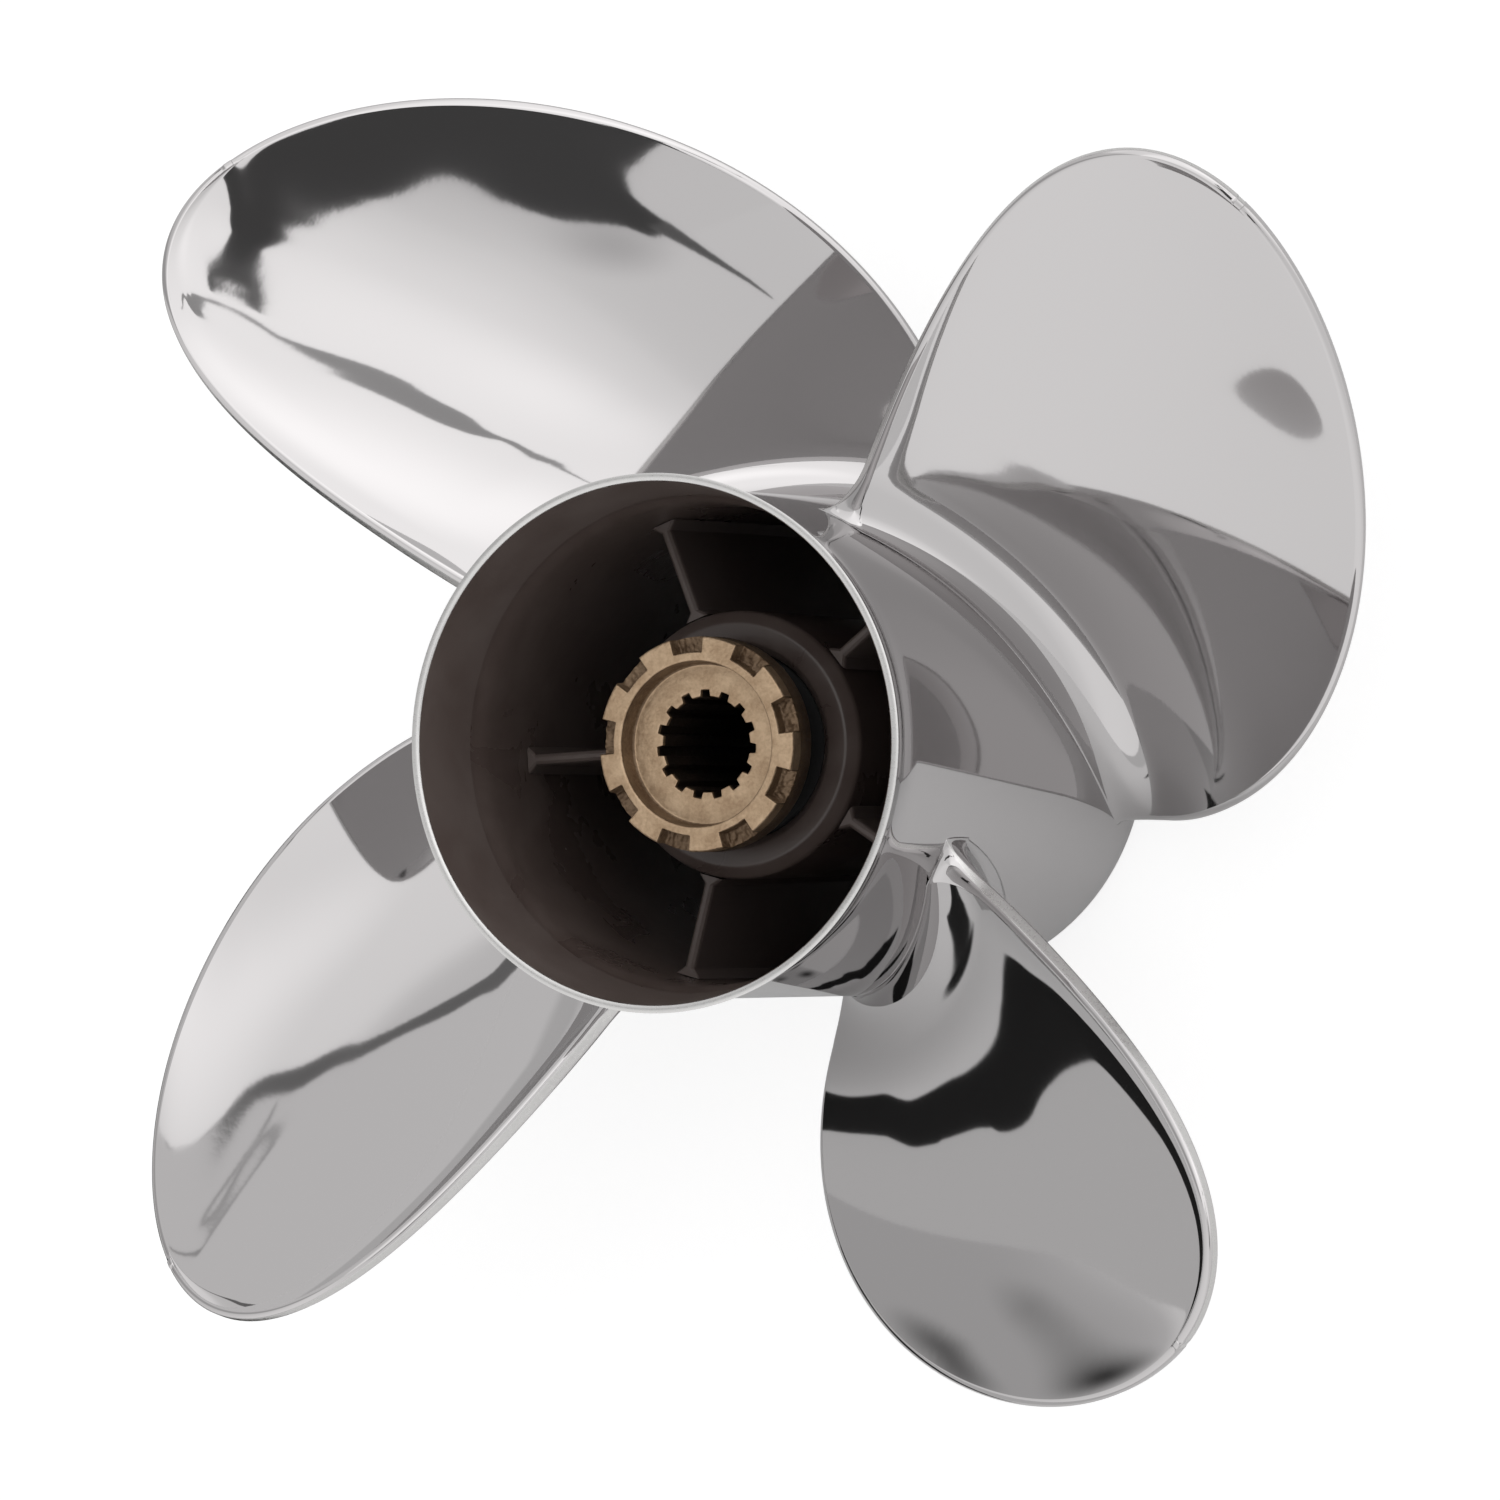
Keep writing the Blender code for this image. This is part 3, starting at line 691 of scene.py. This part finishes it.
def finish_blade(index, aft, forward, edges, steps, finishes):
    """Join a blade's faces, edges, tip and foot into one closed mesh object."""
    count = len(steps)
    rows, columns = aft.shape[:2]
    loop = np.concatenate([aft, edges[1], forward[:, ::-1], edges[-1][:, ::-1]], axis=1)
    around = loop.shape[1]
    points = [loop.reshape(-1, 3)]
    number = np.arange(rows * around).reshape(rows, around)
    faces = grid_faces(number, wrap=True)
    satin = range(columns + EDGE_STEPS - 1, columns + EDGE_STEPS + BAND_STEPS)
    finish_of = [int(k % around in satin) for k in range(len(faces))]

    # Tip: the edge's profile carried across the short last row
    used = rows * around
    last_row = number[-1]
    aft_row = last_row[:columns]
    forward_row = last_row[columns + count:2 * columns + count][::-1]
    upper = aft[-1]
    lower = forward[-1]
    lead_out = edges[-1][-1][EDGE_STEPS] - (upper[0] + lower[0]) / 2
    trail_out = edges[1][-1][EDGE_STEPS] - (upper[-1] + lower[-1]) / 2
    share = np.linspace(0, 1, columns)[:, None]
    out = lead_out * (1 - share) + trail_out * share
    out /= np.linalg.norm(out, axis=-1, keepdims=True)
    tip = over_edge(upper, lower, out, TIP_EDGE, steps)
    inner = tip[1:-1]
    points.append(inner.reshape(-1, 3))
    tip_number = np.empty((columns, count + 2), dtype=int)
    tip_number[:, 0] = aft_row
    tip_number[:, -1] = forward_row
    tip_number[1:-1, 1:-1] = used + np.arange(inner.shape[0] * count).reshape(-1, count)
    tip_number[-1, 1:-1] = last_row[columns:columns + count]
    tip_number[0, 1:-1] = last_row[2 * columns + count:][::-1]
    used += inner.shape[0] * count
    tip_faces = grid_faces(tip_number)
    faces += tip_faces
    satin = range(EDGE_STEPS, EDGE_STEPS + BAND_STEPS + 1)
    finish_of += [int(k % (count + 1) in satin) for k in range(len(tip_faces))]

    # Foot: the root loop sunk under the hub's skin and drawn in to its middle line
    root = loop[0]
    aft_foot = root[:columns]
    forward_foot = root[columns + count:2 * columns + count][::-1]
    spine = (aft_foot + forward_foot) / 2
    toward = np.concatenate([
        spine, np.repeat(spine[-1:], count, axis=0), spine[::-1], np.repeat(spine[:1], count, axis=0),
    ])
    foot_rows = [number[0]]
    for row in range(FOOT_ROWS):
        share = row / FOOT_ROWS
        mixed = root * (1 - share) + toward * share
        points.append(sunk(mixed))
        foot_rows.append(used + np.arange(around))
        used += around
    points.append(sunk(spine))
    ends = np.concatenate([
        np.arange(columns), np.full(count, columns - 1), np.arange(columns)[::-1], np.full(count, 0),
    ])
    foot_rows.append(used + ends)
    foot_faces = grid_faces(np.array(foot_rows), wrap=True)
    faces += foot_faces
    finish_of += [0] * len(foot_faces)
    made = add_object(f"blade_skin_{index + 1}", np.concatenate(points), faces, finishes, finish_of)
    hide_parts(f"blade_{index + 1}")


def sunk(points):
    """The same points moved to just under the hub's outer surface."""
    angle = np.arctan2(points[:, 1], points[:, 0])
    return polar(barrel_outer(points[:, 2]) - FOOT_DEPTH, angle, points[:, 2])


def turned(name, profile, finishes, segments, finish_of=None, sharp_deg=None):
    """A closed profile of (radius, height) points turned around the shaft."""
    profile = np.array(profile)
    angles = np.arange(segments) * math.tau / segments
    points = polar(profile[:, 0][:, None], angles[None, :], profile[:, 1][:, None])
    count = len(profile)
    number = np.arange(count * segments).reshape(count, segments)
    number = np.concatenate([number, number[:1]])
    faces = grid_faces(number, wrap=True)
    per_face = None if finish_of is None else np.repeat(finish_of, segments)
    return add_object(name, points.reshape(-1, 3), faces, finishes, per_face, sharp_deg)


def rounded(profile, sizes):
    """A closed profile with its corners rounded, each by its own size."""
    profile = [np.array(point, dtype=float) for point in profile]
    made = []
    for i, point in enumerate(profile):
        before = profile[i - 1] - point
        after = profile[(i + 1) % len(profile)] - point
        shorter = min(np.linalg.norm(before), np.linalg.norm(after))
        reach = min(sizes[i], shorter * ROUNDING_MOST)
        start = point + before / np.linalg.norm(before) * reach
        end = point + after / np.linalg.norm(after) * reach
        for k in range(ROUNDING_STEPS + 1):
            t = k / ROUNDING_STEPS
            made.append((1 - t) ** 2 * start + 2 * t * (1 - t) * point + t * t * end)
    return made


# Materials


def fill(tree, node, values):
    """Set a node's inputs to numbers or colours, or link them to sockets, and return it."""
    for name, value in values.items():
        if isinstance(value, bpy.types.NodeSocket):
            tree.links.new(value, node.inputs[name])
        else:
            node.inputs[name].default_value = value
    return node


def new_material(name, colour, metallic, roughness):
    """A Principled material, with its node tree and shader to add to."""
    made = bpy.data.materials.new(name)
    made.use_nodes = True
    tree = made.node_tree
    shader = tree.nodes["Principled BSDF"]
    fill(tree, shader, {"Base Color": (*colour, 1.0), "Metallic": metallic, "Roughness": roughness})
    return made, tree, shader


def object_coordinates(tree):
    """Object coordinates in metres."""
    return tree.nodes.new("ShaderNodeTexCoord").outputs["Object"]


def noise(tree, vector, scale, detail, roughness, distortion=0.0):
    """A noise texture's grey output."""
    node = tree.nodes.new("ShaderNodeTexNoise")
    fill(tree, node, {"Vector": vector, "Scale": scale, "Detail": detail})
    fill(tree, node, {"Roughness": roughness, "Distortion": distortion})
    return node.outputs["Fac"]


def mapped(tree, value, low, high, to_low, to_high, kind="LINEAR"):
    """A value carried from one range to another, kept inside it."""
    node = tree.nodes.new("ShaderNodeMapRange")
    node.interpolation_type = kind
    fill(tree, node, {"Value": value, "From Min": low, "From Max": high})
    fill(tree, node, {"To Min": to_low, "To Max": to_high})
    return node.outputs["Result"]


def maths(tree, operation, first, second=None):
    """One Math node. Each input is a socket or a number."""
    node = tree.nodes.new("ShaderNodeMath")
    node.operation = operation
    fill(tree, node, {0: first})
    if second is not None:
        fill(tree, node, {1: second})
    return node.outputs["Value"]


def bump(tree, height, distance, normal=None):
    """A bump node over a height that is given in shares of a distance in metres."""
    node = tree.nodes.new("ShaderNodeBump")
    fill(tree, node, {"Strength": 1.0, "Distance": distance, "Height": height})
    if normal is not None:
        fill(tree, node, {"Normal": normal})
    return node.outputs["Normal"]


def mixed_colour(tree, share, first, second):
    """A colour between two, by a share."""
    node = tree.nodes.new("ShaderNodeMix")
    node.data_type = "RGBA"
    fill(tree, node, {"Factor": share, "A": (*first, 1.0), "B": (*second, 1.0)})
    return node.outputs["Result"]


def split_up(tree, vector):
    """The x, y and z of a vector."""
    return fill(tree, tree.nodes.new("ShaderNodeSeparateXYZ"), {"Vector": vector}).outputs


def polished_steel():
    """Mirror-polished stainless steel with slow waves and a fine ripple."""
    made, tree, shader = new_material("polished_steel", *STEEL)
    vector = object_coordinates(tree)
    slow = bump(tree, noise(tree, vector, *STEEL_WAVES), STEEL_WAVE_HEIGHT)
    normal = bump(tree, noise(tree, vector, *STEEL_RIPPLE), STEEL_RIPPLE_HEIGHT, slow)
    fill(tree, shader, {"Normal": normal})
    return made


def satin_steel():
    """Ground stainless steel of the rim's land and the blades' square edges."""
    made, tree, shader = new_material("satin_steel", *SATIN)
    grain = noise(tree, object_coordinates(tree), *SATIN_GRAIN)
    uneven = mapped(tree, grain, *WIDE_RANGE, *SATIN_ROUGHNESS)
    fill(tree, shader, {"Roughness": uneven, "Normal": bump(tree, grain, SATIN_GRAIN_HEIGHT)})
    return made


def dark_paint(name, deep, pale, roughness):
    """Half-gloss brown-black paint over the casting, blotched between two tones."""
    made, tree, shader = new_material(name, deep, 0.0, roughness)
    vector = object_coordinates(tree)
    blotches = noise(tree, vector, *PAINT_BLOTCHES)
    share = mapped(tree, blotches, *MIDDLE_RANGE, 0.0, 1.0)
    colour = mixed_colour(tree, share, deep, pale)
    smoothest = roughness - PAINT_ROUGHNESS_SPREAD
    roughest = roughness + PAINT_ROUGHNESS_SPREAD
    uneven = mapped(tree, blotches, *WIDE_RANGE, smoothest, roughest)
    sagged = bump(tree, noise(tree, vector, *PAINT_SAG), PAINT_SAG_HEIGHT)
    normal = bump(tree, noise(tree, vector, *PAINT_PEEL), PAINT_PEEL_HEIGHT, sagged)
    fill(tree, shader, {"Base Color": colour, "Roughness": uneven, "Normal": normal})
    return made


def bronze(name, deep, pale, metallic, grain_height):
    """Blasted cast bronze with a fine grain that catches the light."""
    made, tree, shader = new_material(name, deep, metallic, BRONZE_ROUGHNESS)
    vector = object_coordinates(tree)
    grain = noise(tree, vector, *BRONZE_GRAIN)
    from_tone = maths(tree, "MULTIPLY", noise(tree, vector, *BRONZE_TONE), BRONZE_TONE_SHARE)
    from_grain = maths(tree, "MULTIPLY", grain, 1 - BRONZE_TONE_SHARE)
    share = mapped(tree, maths(tree, "ADD", from_tone, from_grain), *NARROW_RANGE, 0.0, 1.0)
    colour = mixed_colour(tree, share, deep, pale)
    uneven = mapped(tree, grain, *MIDDLE_RANGE, *BRONZE_ROUGHNESS_RANGE)
    normal = bump(tree, grain, grain_height)
    fill(tree, shader, {"Base Color": colour, "Roughness": uneven, "Normal": normal})
    return made


def black_rubber():
    """Moulded rubber, near black."""
    made, tree, shader = new_material("black_rubber", *RUBBER)
    grain = noise(tree, object_coordinates(tree), *RUBBER_GRAIN)
    fill(tree, shader, {"Normal": bump(tree, grain, RUBBER_GRAIN_HEIGHT)})
    return made


# Hub


def make_hub_skin(steel, satin):
    """The hub's polished outside in one piece, with the satin land on its aft rim."""
    flare_z = HUB_LENGTH - FLARE_LENGTH
    step_z = HUB_LENGTH - FLARE_STEP_DEPTH
    heights = np.concatenate([
        np.linspace(NOSE_EDGE, NOSE_LENGTH, BARREL_ROWS)[:-1],
        np.linspace(NOSE_LENGTH, flare_z, BARREL_ROWS)[:-1],
        np.linspace(flare_z, HUB_LENGTH - RIM_EDGE, FLARE_ROWS),
    ])
    outer = [(float(barrel_outer(z)), z) for z in heights]
    land = [(RIM_R - way, HUB_LENGTH - drop) for way, drop in LAND_OUTER_EDGE]
    land += [(RIM_R - RIM_LAND + way, HUB_LENGTH - drop) for way, drop in LAND_INNER_EDGE]
    inside = [(FLARE_INNER_R + way, step_z - drop) for way, drop in SKIN_PAST_STEP]
    inside += [(WAIST_R - SKIN_WALL, step_z - SKIN_WALL_DROP), (WAIST_R - SKIN_WALL, NOSE_LENGTH)]
    inside.append((float(barrel_outer(NOSE_MIDDLE_Z)) - SKIN_WALL, NOSE_MIDDLE_Z))
    inside += [(NOSE_R - SKIN_WALL, NOSE_EDGE), (NOSE_R - SKIN_WALL + NOSE_EDGE, 0.0)]
    inside.append((NOSE_R - NOSE_EDGE, 0.0))
    profile = outer + land + inside
    finish_of = [0] * len(profile)
    for k in range(len(outer) - 1, len(outer) + len(land)):
        finish_of[k] = 1
    made = turned("hub_skin", profile, (steel, satin), OUTER_SEGMENTS, finish_of, SKIN_SHARP_DEG)
    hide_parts("hub_barrel", "exhaust_flare")


def make_exhaust_lining(paint, lit_paint):
    """The painted inside of the barrel and flare: a band made paler as painted light, a low step, a darker
    barrel.
    """
    step_z = HUB_LENGTH - FLARE_STEP_DEPTH
    wall = WAIST_R - BARREL_WALL
    inner = [(RIM_R - RIM_LAND - LINING_RIM_GAP, HUB_LENGTH - RIM_EDGE)]
    inner += [(FLARE_INNER_R + way, step_z + rise) for way, rise in LINING_STEP]
    inner += [(wall, step_z - LINING_WALL_DROP), (wall, NOSE_LENGTH)]
    inner += [(float(barrel_outer(z)) - BARREL_WALL, z) for z in LINING_HEIGHTS]
    outer = [(radius + LINING_THICKNESS, z) for radius, z in reversed(inner)]
    outer[-1] = (RIM_R - RIM_LAND + LINING_RIM_GAP, HUB_LENGTH - LINING_RIM_DROP)
    profile = inner + outer
    finish_of = [0] * len(profile)
    # The band from the rim to the step takes the lit paint, a lighter copy painted as light
    finish_of[0] = 1
    finishes = (paint, lit_paint)
    made = turned("exhaust_lining", profile, finishes, INNER_SEGMENTS, finish_of, LINING_SHARP_DEG)


def spline_radius(angles):
    """Radius of the splined bore: fifteen grooves with rounded corners."""
    turns = (angles - math.radians(SPLINE_PHASE_DEG)) * SPLINE_COUNT / math.tau
    away = np.abs(turns - np.round(turns))
    deep = smooth((GROOVE_MOUTH - away) / (GROOVE_MOUTH - GROOVE_FLOOR))
    return SPLINE_MINOR_R + (SPLINE_MAJOR_R - SPLINE_MINOR_R) * deep


def notch_share(angles):
    """How far each angle lies inside one of the head's notches, from 0 to 1."""
    pitch = 360.0 / NOTCH_COUNT
    turns = (np.degrees(angles) - NOTCH_FIRST_DEG) / pitch
    away = np.abs(turns - np.round(turns)) * pitch
    return smooth((NOTCH_WIDTH_DEG / 2 + NOTCH_SOFT_DEG - away) / (2 * NOTCH_SOFT_DEG))


def bush_rows(angles):
    """Rings of the bush from its bore over the recess and head, as (radius, height, finish)."""
    bore = spline_radius(angles)
    top = BUSH_AFT_Z
    floor = BUSH_RECESS_FLOOR_Z
    forward_end = BUSH_FORWARD_Z + BUSH_END_GAP
    # The bore is painted near-black as shade; the bore's mouth, the recess's corner and the head's side and
    # underside take the shaded bronze, painted shade
    rows = [(bore, forward_end, 2), (bore, floor - BORE_SHADE_DROP, 2)]
    for way, drop, finish in BORE_MOUTH:
        rows.append((bore + way, floor - drop, finish))
    for share in TAPER_SHARES:
        rows.append(((bore + BORE_MOUTH_R) * (1 - share) + BUSH_TAPER_R * share, floor, 0))
    for radius in np.linspace(BUSH_TAPER_R, BUSH_RECESS_R - RECESS_CORNER_R, FLOOR_RINGS):
        rows.append((radius, floor, 0))
    for inset, rise, finish in RECESS_CORNER:
        rows.append((BUSH_RECESS_R - inset, floor + rise, finish))
    for inset, drop, finish in RECESS_LIP:
        rows.append((BUSH_RECESS_R - inset, top - drop, finish))
    for radius in np.linspace(BUSH_RECESS_R + LAND_MARGIN, NOTCH_INNER_R - LAND_MARGIN, LAND_RINGS):
        rows.append((radius, top, 0))
    cut = NOTCH_DEPTH * notch_share(angles)
    for way, share in NOTCH_WALL:
        rows.append((NOTCH_INNER_R + way, top - cut * share, 0))
    for radius in np.linspace(NOTCH_INNER_R + HEAD_MARGIN, BUSH_HEAD_R - HEAD_MARGIN, HEAD_RINGS):
        rows.append((radius, top - cut, 0))
    for inset, drop in HEAD_EDGE:
        rows.append((BUSH_HEAD_R - inset, top - np.maximum(cut, drop), 0))
    lowest = top - BUSH_HEAD_HEIGHT
    rows += [(BUSH_HEAD_R, top - NOTCH_DEPTH - LAND_MARGIN, 1), (BUSH_HEAD_R, lowest + HEAD_MARGIN, 1)]
    rows += [(BUSH_HEAD_R - HEAD_MARGIN, lowest, 1), (BUSH_NECK_R, lowest, 1)]
    rows.append((BUSH_NECK_R, forward_end, 1))
    return rows


def roughened(points, share, height, scale):
    """Points moved up by a share of smooth noise: its height, and its lumps in a metre."""
    lumps = [lumpy_noise.noise(Vector(point) * scale) for point in points]
    moved = points.copy()
    moved[:, 2] += share * (np.array(lumps) * height)
    return moved


def make_bush(finishes):
    """The cast bronze bush: castellated head, recess, grooves and a rough cast surface, with painted shade
    in its notches, corners and bore.
    """
    angles = np.arange(BUSH_ANGLES) * math.tau / BUSH_ANGLES
    rows = bush_rows(angles)
    rings = [polar(radius, angles, height) for radius, height, _ in rows]
    share = notch_share(angles)
    points = []
    for ring in rings:
        in_head = smooth((ring[:, 2] - BUSH_RECESS_FLOOR_Z + LUMPS_BELOW_FLOOR) / LUMPS_BLEND)
        in_notch = share * (np.hypot(ring[:, 0], ring[:, 1]) > NOTCH_INNER_R) * in_head
        ring = roughened(ring, in_head, *CAST_LUMPS)
        points.append(roughened(ring, in_notch, *NOTCH_LUMPS))
    points = np.concatenate(points)
    number = np.arange(len(rows) * BUSH_ANGLES).reshape(len(rows), BUSH_ANGLES)
    faces = grid_faces(np.concatenate([number, number[:1]]), wrap=True)
    middle_share = (share + np.roll(share, -1)) / 2
    finish_of = []
    for radius, _, finish in rows:
        # Faces inside the notches take the shaded bronze, a darker copy painted as shade
        outside = np.max(radius) > NOTCH_INNER_R - NOTCH_MARGIN
        dark = (middle_share > NOTCH_SHADE_FROM) & outside
        finish_of.append(np.where(dark, 1, finish))
    made = add_object("bush_skin", points, faces, finishes, np.concatenate(finish_of))
    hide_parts("splined_bush")


def make_inner_hub(paint):
    """The painted inner hub with its chamfered aft end."""
    share = (INNER_AFT_Z - INNER_CHAMFER - INNER_FORWARD_Z) / (INNER_AFT_Z - INNER_FORWARD_Z)
    shoulder = INNER_FORWARD_R + (INNER_AFT_R - INNER_FORWARD_R) * share
    profile = [
        (INNER_BORE_R, INNER_FORWARD_Z),
        (INNER_FORWARD_R, INNER_FORWARD_Z),
        (shoulder, INNER_AFT_Z - INNER_CHAMFER),
        (INNER_FACE_R, INNER_AFT_Z),
        (INNER_BORE_R + INNER_LIP_OUT, INNER_AFT_Z),
        (INNER_BORE_R, INNER_AFT_Z - INNER_LIP_DROP),
    ]
    made = turned("inner_hub_skin", rounded(profile, INNER_ROUNDING), (paint,), INNER_SEGMENTS)
    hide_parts("inner_hub")


def make_camera():
    """The camera of the photograph."""
    turn = math.radians(CAMERA_TURN_DEG)
    tilt = math.radians(CAMERA_TILT_DEG)
    roll = math.radians(CAMERA_ROLL_DEG)
    back = Vector((math.sin(turn) * math.cos(tilt), math.sin(tilt), math.cos(turn) * math.cos(tilt)))
    forward = -back
    right = forward.cross(Vector((0, 1, 0))).normalized()
    above = right.cross(forward)
    axis_x = math.cos(roll) * right + math.sin(roll) * above
    axis_y = -math.sin(roll) * right + math.cos(roll) * above
    turned_to = Matrix((axis_x, axis_y, back)).transposed().to_4x4()
    data = bpy.data.cameras.new("camera")
    data.sensor_fit = "HORIZONTAL"
    data.sensor_width = SENSOR_MM
    data.lens = FOCAL_PIXELS / FRAME_PIXELS * SENSOR_MM
    data.clip_end = CAMERA_CLIP_END
    camera = new_object("camera", data)
    place_at = Vector(CAMERA_TARGET) + back * CAMERA_DISTANCE
    camera.matrix_world = Matrix.Translation(place_at) @ turned_to
    bpy.context.scene.camera = camera


# Studio


def curve_of(tree, value, points):
    """A value that follows a smooth curve through (input, output) points."""
    starts = [point[0] for point in points]
    ends = [point[1] for point in points]
    low = min(starts)
    high = max(starts)
    bottom = min(ends) - CURVE_MARGIN
    top = max(ends) + CURVE_MARGIN
    node = tree.nodes.new("ShaderNodeFloatCurve")
    curve = node.mapping.curves[0]
    while len(curve.points) < len(points):
        curve.points.new(0.5, 0.5)
    for knot, (start, end) in zip(curve.points, points):
        knot.location = ((start - low) / (high - low), (end - bottom) / (top - bottom))
        knot.handle_type = "AUTO_CLAMPED"
    node.mapping.update()
    fill(tree, node, {"Value": mapped(tree, value, low, high, 0.0, 1.0)})
    return mapped(tree, node.outputs["Value"], 0.0, 1.0, bottom, top)


def strip(tree, along, across, points, soft):
    """A mask between two borders: points are (place along, lower place, upper place)."""
    points = sorted(points)
    low = curve_of(tree, along, [(point[0], point[1]) for point in points])
    high = curve_of(tree, along, [(point[0], point[2]) for point in points])
    inside = 1.0
    borders = ((across, low), (high, across), (along, points[0][0]), (points[-1][0], along))
    for greater, smaller in borders:
        past = maths(tree, "SUBTRACT", greater, smaller)
        begun = mapped(tree, past, -soft, soft, 0.0, 1.0, "SMOOTHSTEP")
        inside = maths(tree, "MULTIPLY", begun, inside)
    return inside


def toward(tree, share, value, level):
    """A value carried toward a level by a share of 0 to 1."""
    gap = maths(tree, "SUBTRACT", level, value)
    return maths(tree, "ADD", value, maths(tree, "MULTIPLY", share, gap))


def spot(tree, azimuth, elevation, centre, reach):
    """A soft round share, 1 at the centre and 0 beyond its reach in degrees."""
    sideways = maths(tree, "DIVIDE", maths(tree, "SUBTRACT", azimuth, centre[0]), reach[0])
    upward = maths(tree, "DIVIDE", maths(tree, "SUBTRACT", elevation, centre[1]), reach[1])
    squares = maths(tree, "ADD", maths(tree, "MULTIPLY", sideways, sideways),
                    maths(tree, "MULTIPLY", upward, upward))
    return mapped(tree, maths(tree, "SQRT", squares), 0.0, 1.0, 1.0, 0.0, "SMOOTHSTEP")


def room_level(tree, azimuth, elevation):
    """How bright the studio is in each direction, as the blades mirror it."""
    level = curve_of(tree, azimuth, ROOM_BY_AZIMUTH)
    for centre, reach, value in ROOM_GLOWS:
        level = toward(tree, spot(tree, azimuth, elevation, centre, reach), level, value)
    for points, soft, value in ROOM_PANELS:
        level = toward(tree, strip(tree, azimuth, elevation, points, soft), level, value)
    for points, soft, value in ROOM_SEAMS:
        level = toward(tree, strip(tree, elevation, azimuth, points, soft), level, value)
    return level


def deep_share(tree, path):
    """How much dimmer the studio is to mirrors that see it in other mirrors."""
    deep = maths(tree, "GREATER_THAN", path.outputs["Glossy Depth"], FIRST_MIRROR_DEPTH)
    return mapped(tree, deep, 0.0, 1.0, 1.0, DEEP_MIRROR_SHARE)


def make_room():
    """The studio around the object: mirrored by the steel, plain and pale to the camera."""
    world = bpy.data.worlds.new("studio")
    bpy.context.scene.world = world
    world.use_nodes = True
    tree = world.node_tree
    source = tree.nodes.new("ShaderNodeTexCoord")
    x, y, z = split_up(tree, source.outputs["Generated"])
    azimuth = maths(tree, "DEGREES", maths(tree, "ARCTAN2", y, x))
    elevation = maths(tree, "DEGREES", maths(tree, "ARCSINE", z))
    level = room_level(tree, azimuth, elevation)
    path = tree.nodes.new("ShaderNodeLightPath")
    level = maths(tree, "MULTIPLY", level, deep_share(tree, path))
    level = toward(tree, path.outputs["Is Camera Ray"], level, BACKDROP_LEVEL)
    fill(tree, tree.nodes["Background"], {"Color": (1, 1, 1, 1), "Strength": level})
    world.cycles.sampling_method = "NONE"


def make_floor():
    """A plain pale floor, whose mirrored image has a dark gap at the sheet's left edge."""
    floor_mesh = bpy.data.meshes.new("floor")
    size = FLOOR_HALF_SIZE
    corners = [(-size, -size, 0), (size, -size, 0), (size, size, 0), (-size, size, 0)]
    floor_mesh.from_pydata(corners, [], [(0, 1, 2, 3)])
    finish, tree, shader = new_material("pale_floor", *FLOOR_FINISH)
    x, y, _ = split_up(tree, object_coordinates(tree))
    leftward = mapped(tree, x, *BEYOND_X, 1.0, 0.0, "SMOOTHSTEP")
    slanted = maths(tree, "ADD", y, maths(tree, "MULTIPLY", x, BEYOND_TILT))
    downward = mapped(tree, slanted, 0.0, BEYOND_BLEND, 1.0, 0.0, "SMOOTHSTEP")
    beyond = maths(tree, "MULTIPLY", leftward, downward)
    tone = toward(tree, beyond, FLOOR_MIRRORED, FLOOR_BEYOND)
    tone = toward(tree, strip(tree, y, x, FLOOR_GAP, GAP_SOFT), tone, GAP_LEVEL)
    grey = fill(tree, tree.nodes.new("ShaderNodeCombineColor"), {0: tone, 1: tone, 2: tone})
    fill(tree, shader, {"Base Color": grey.outputs[0], "Specular IOR Level": 0.0})

    # What the camera itself sees: a plain floor that glows a little
    plain = tree.nodes.new("ShaderNodeBsdfDiffuse")
    fill(tree, plain, {"Color": (FLOOR_SEEN, FLOOR_SEEN, FLOOR_SEEN, 1.0)})
    glow = tree.nodes.new("ShaderNodeEmission")
    fill(tree, glow, {"Strength": FLOOR_GLOW})
    seen = tree.nodes.new("ShaderNodeAddShader")
    fill(tree, seen, {0: plain.outputs[0], 1: glow.outputs[0]})
    path = tree.nodes.new("ShaderNodeLightPath")
    either = tree.nodes.new("ShaderNodeMixShader")
    by_ray = {0: path.outputs["Is Camera Ray"], 1: shader.outputs[0], 2: seen.outputs[0]}
    fill(tree, either, by_ray)
    fill(tree, tree.nodes["Material Output"], {"Surface": either.outputs[0]})
    floor_mesh.materials.append(finish)
    floor = new_object("floor", floor_mesh)


def main():
    """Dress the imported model, and set up its camera and studio."""
    steel = polished_steel()
    satin = satin_steel()
    paint = dark_paint("exhaust_paint", *DEEP_PAINT)
    lit_paint = dark_paint("lit_paint", *LIT_PAINT)
    face_bronze = bronze("cast_bronze", *FACE_BRONZE)
    shaded_bronze = bronze("shaded_bronze", *SHADED_BRONZE)
    bore_shade_bronze = bronze("bore_shade_bronze", *BORE_SHADE_BRONZE)
    rubber = black_rubber()
    make_camera()
    make_floor()
    make_room()
    bpy.context.scene.view_settings.view_transform = "Standard"
    make_hub_skin(steel, satin)
    make_exhaust_lining(paint, lit_paint)
    make_bush((face_bronze, shaded_bronze, bore_shade_bronze))
    make_inner_hub(paint)
    for index in range(BLADE_COUNT):
        blade_skin(index, steel, satin)
    for name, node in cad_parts.items():
        # The ribs take the lit paint, a lighter copy painted as light
        if name.startswith("rib_"):
            finish = lit_paint
        elif name == "rubber_bush":
            finish = rubber
        else:
            continue
        node.data.materials.clear()
        node.data.materials.append(finish)


main()
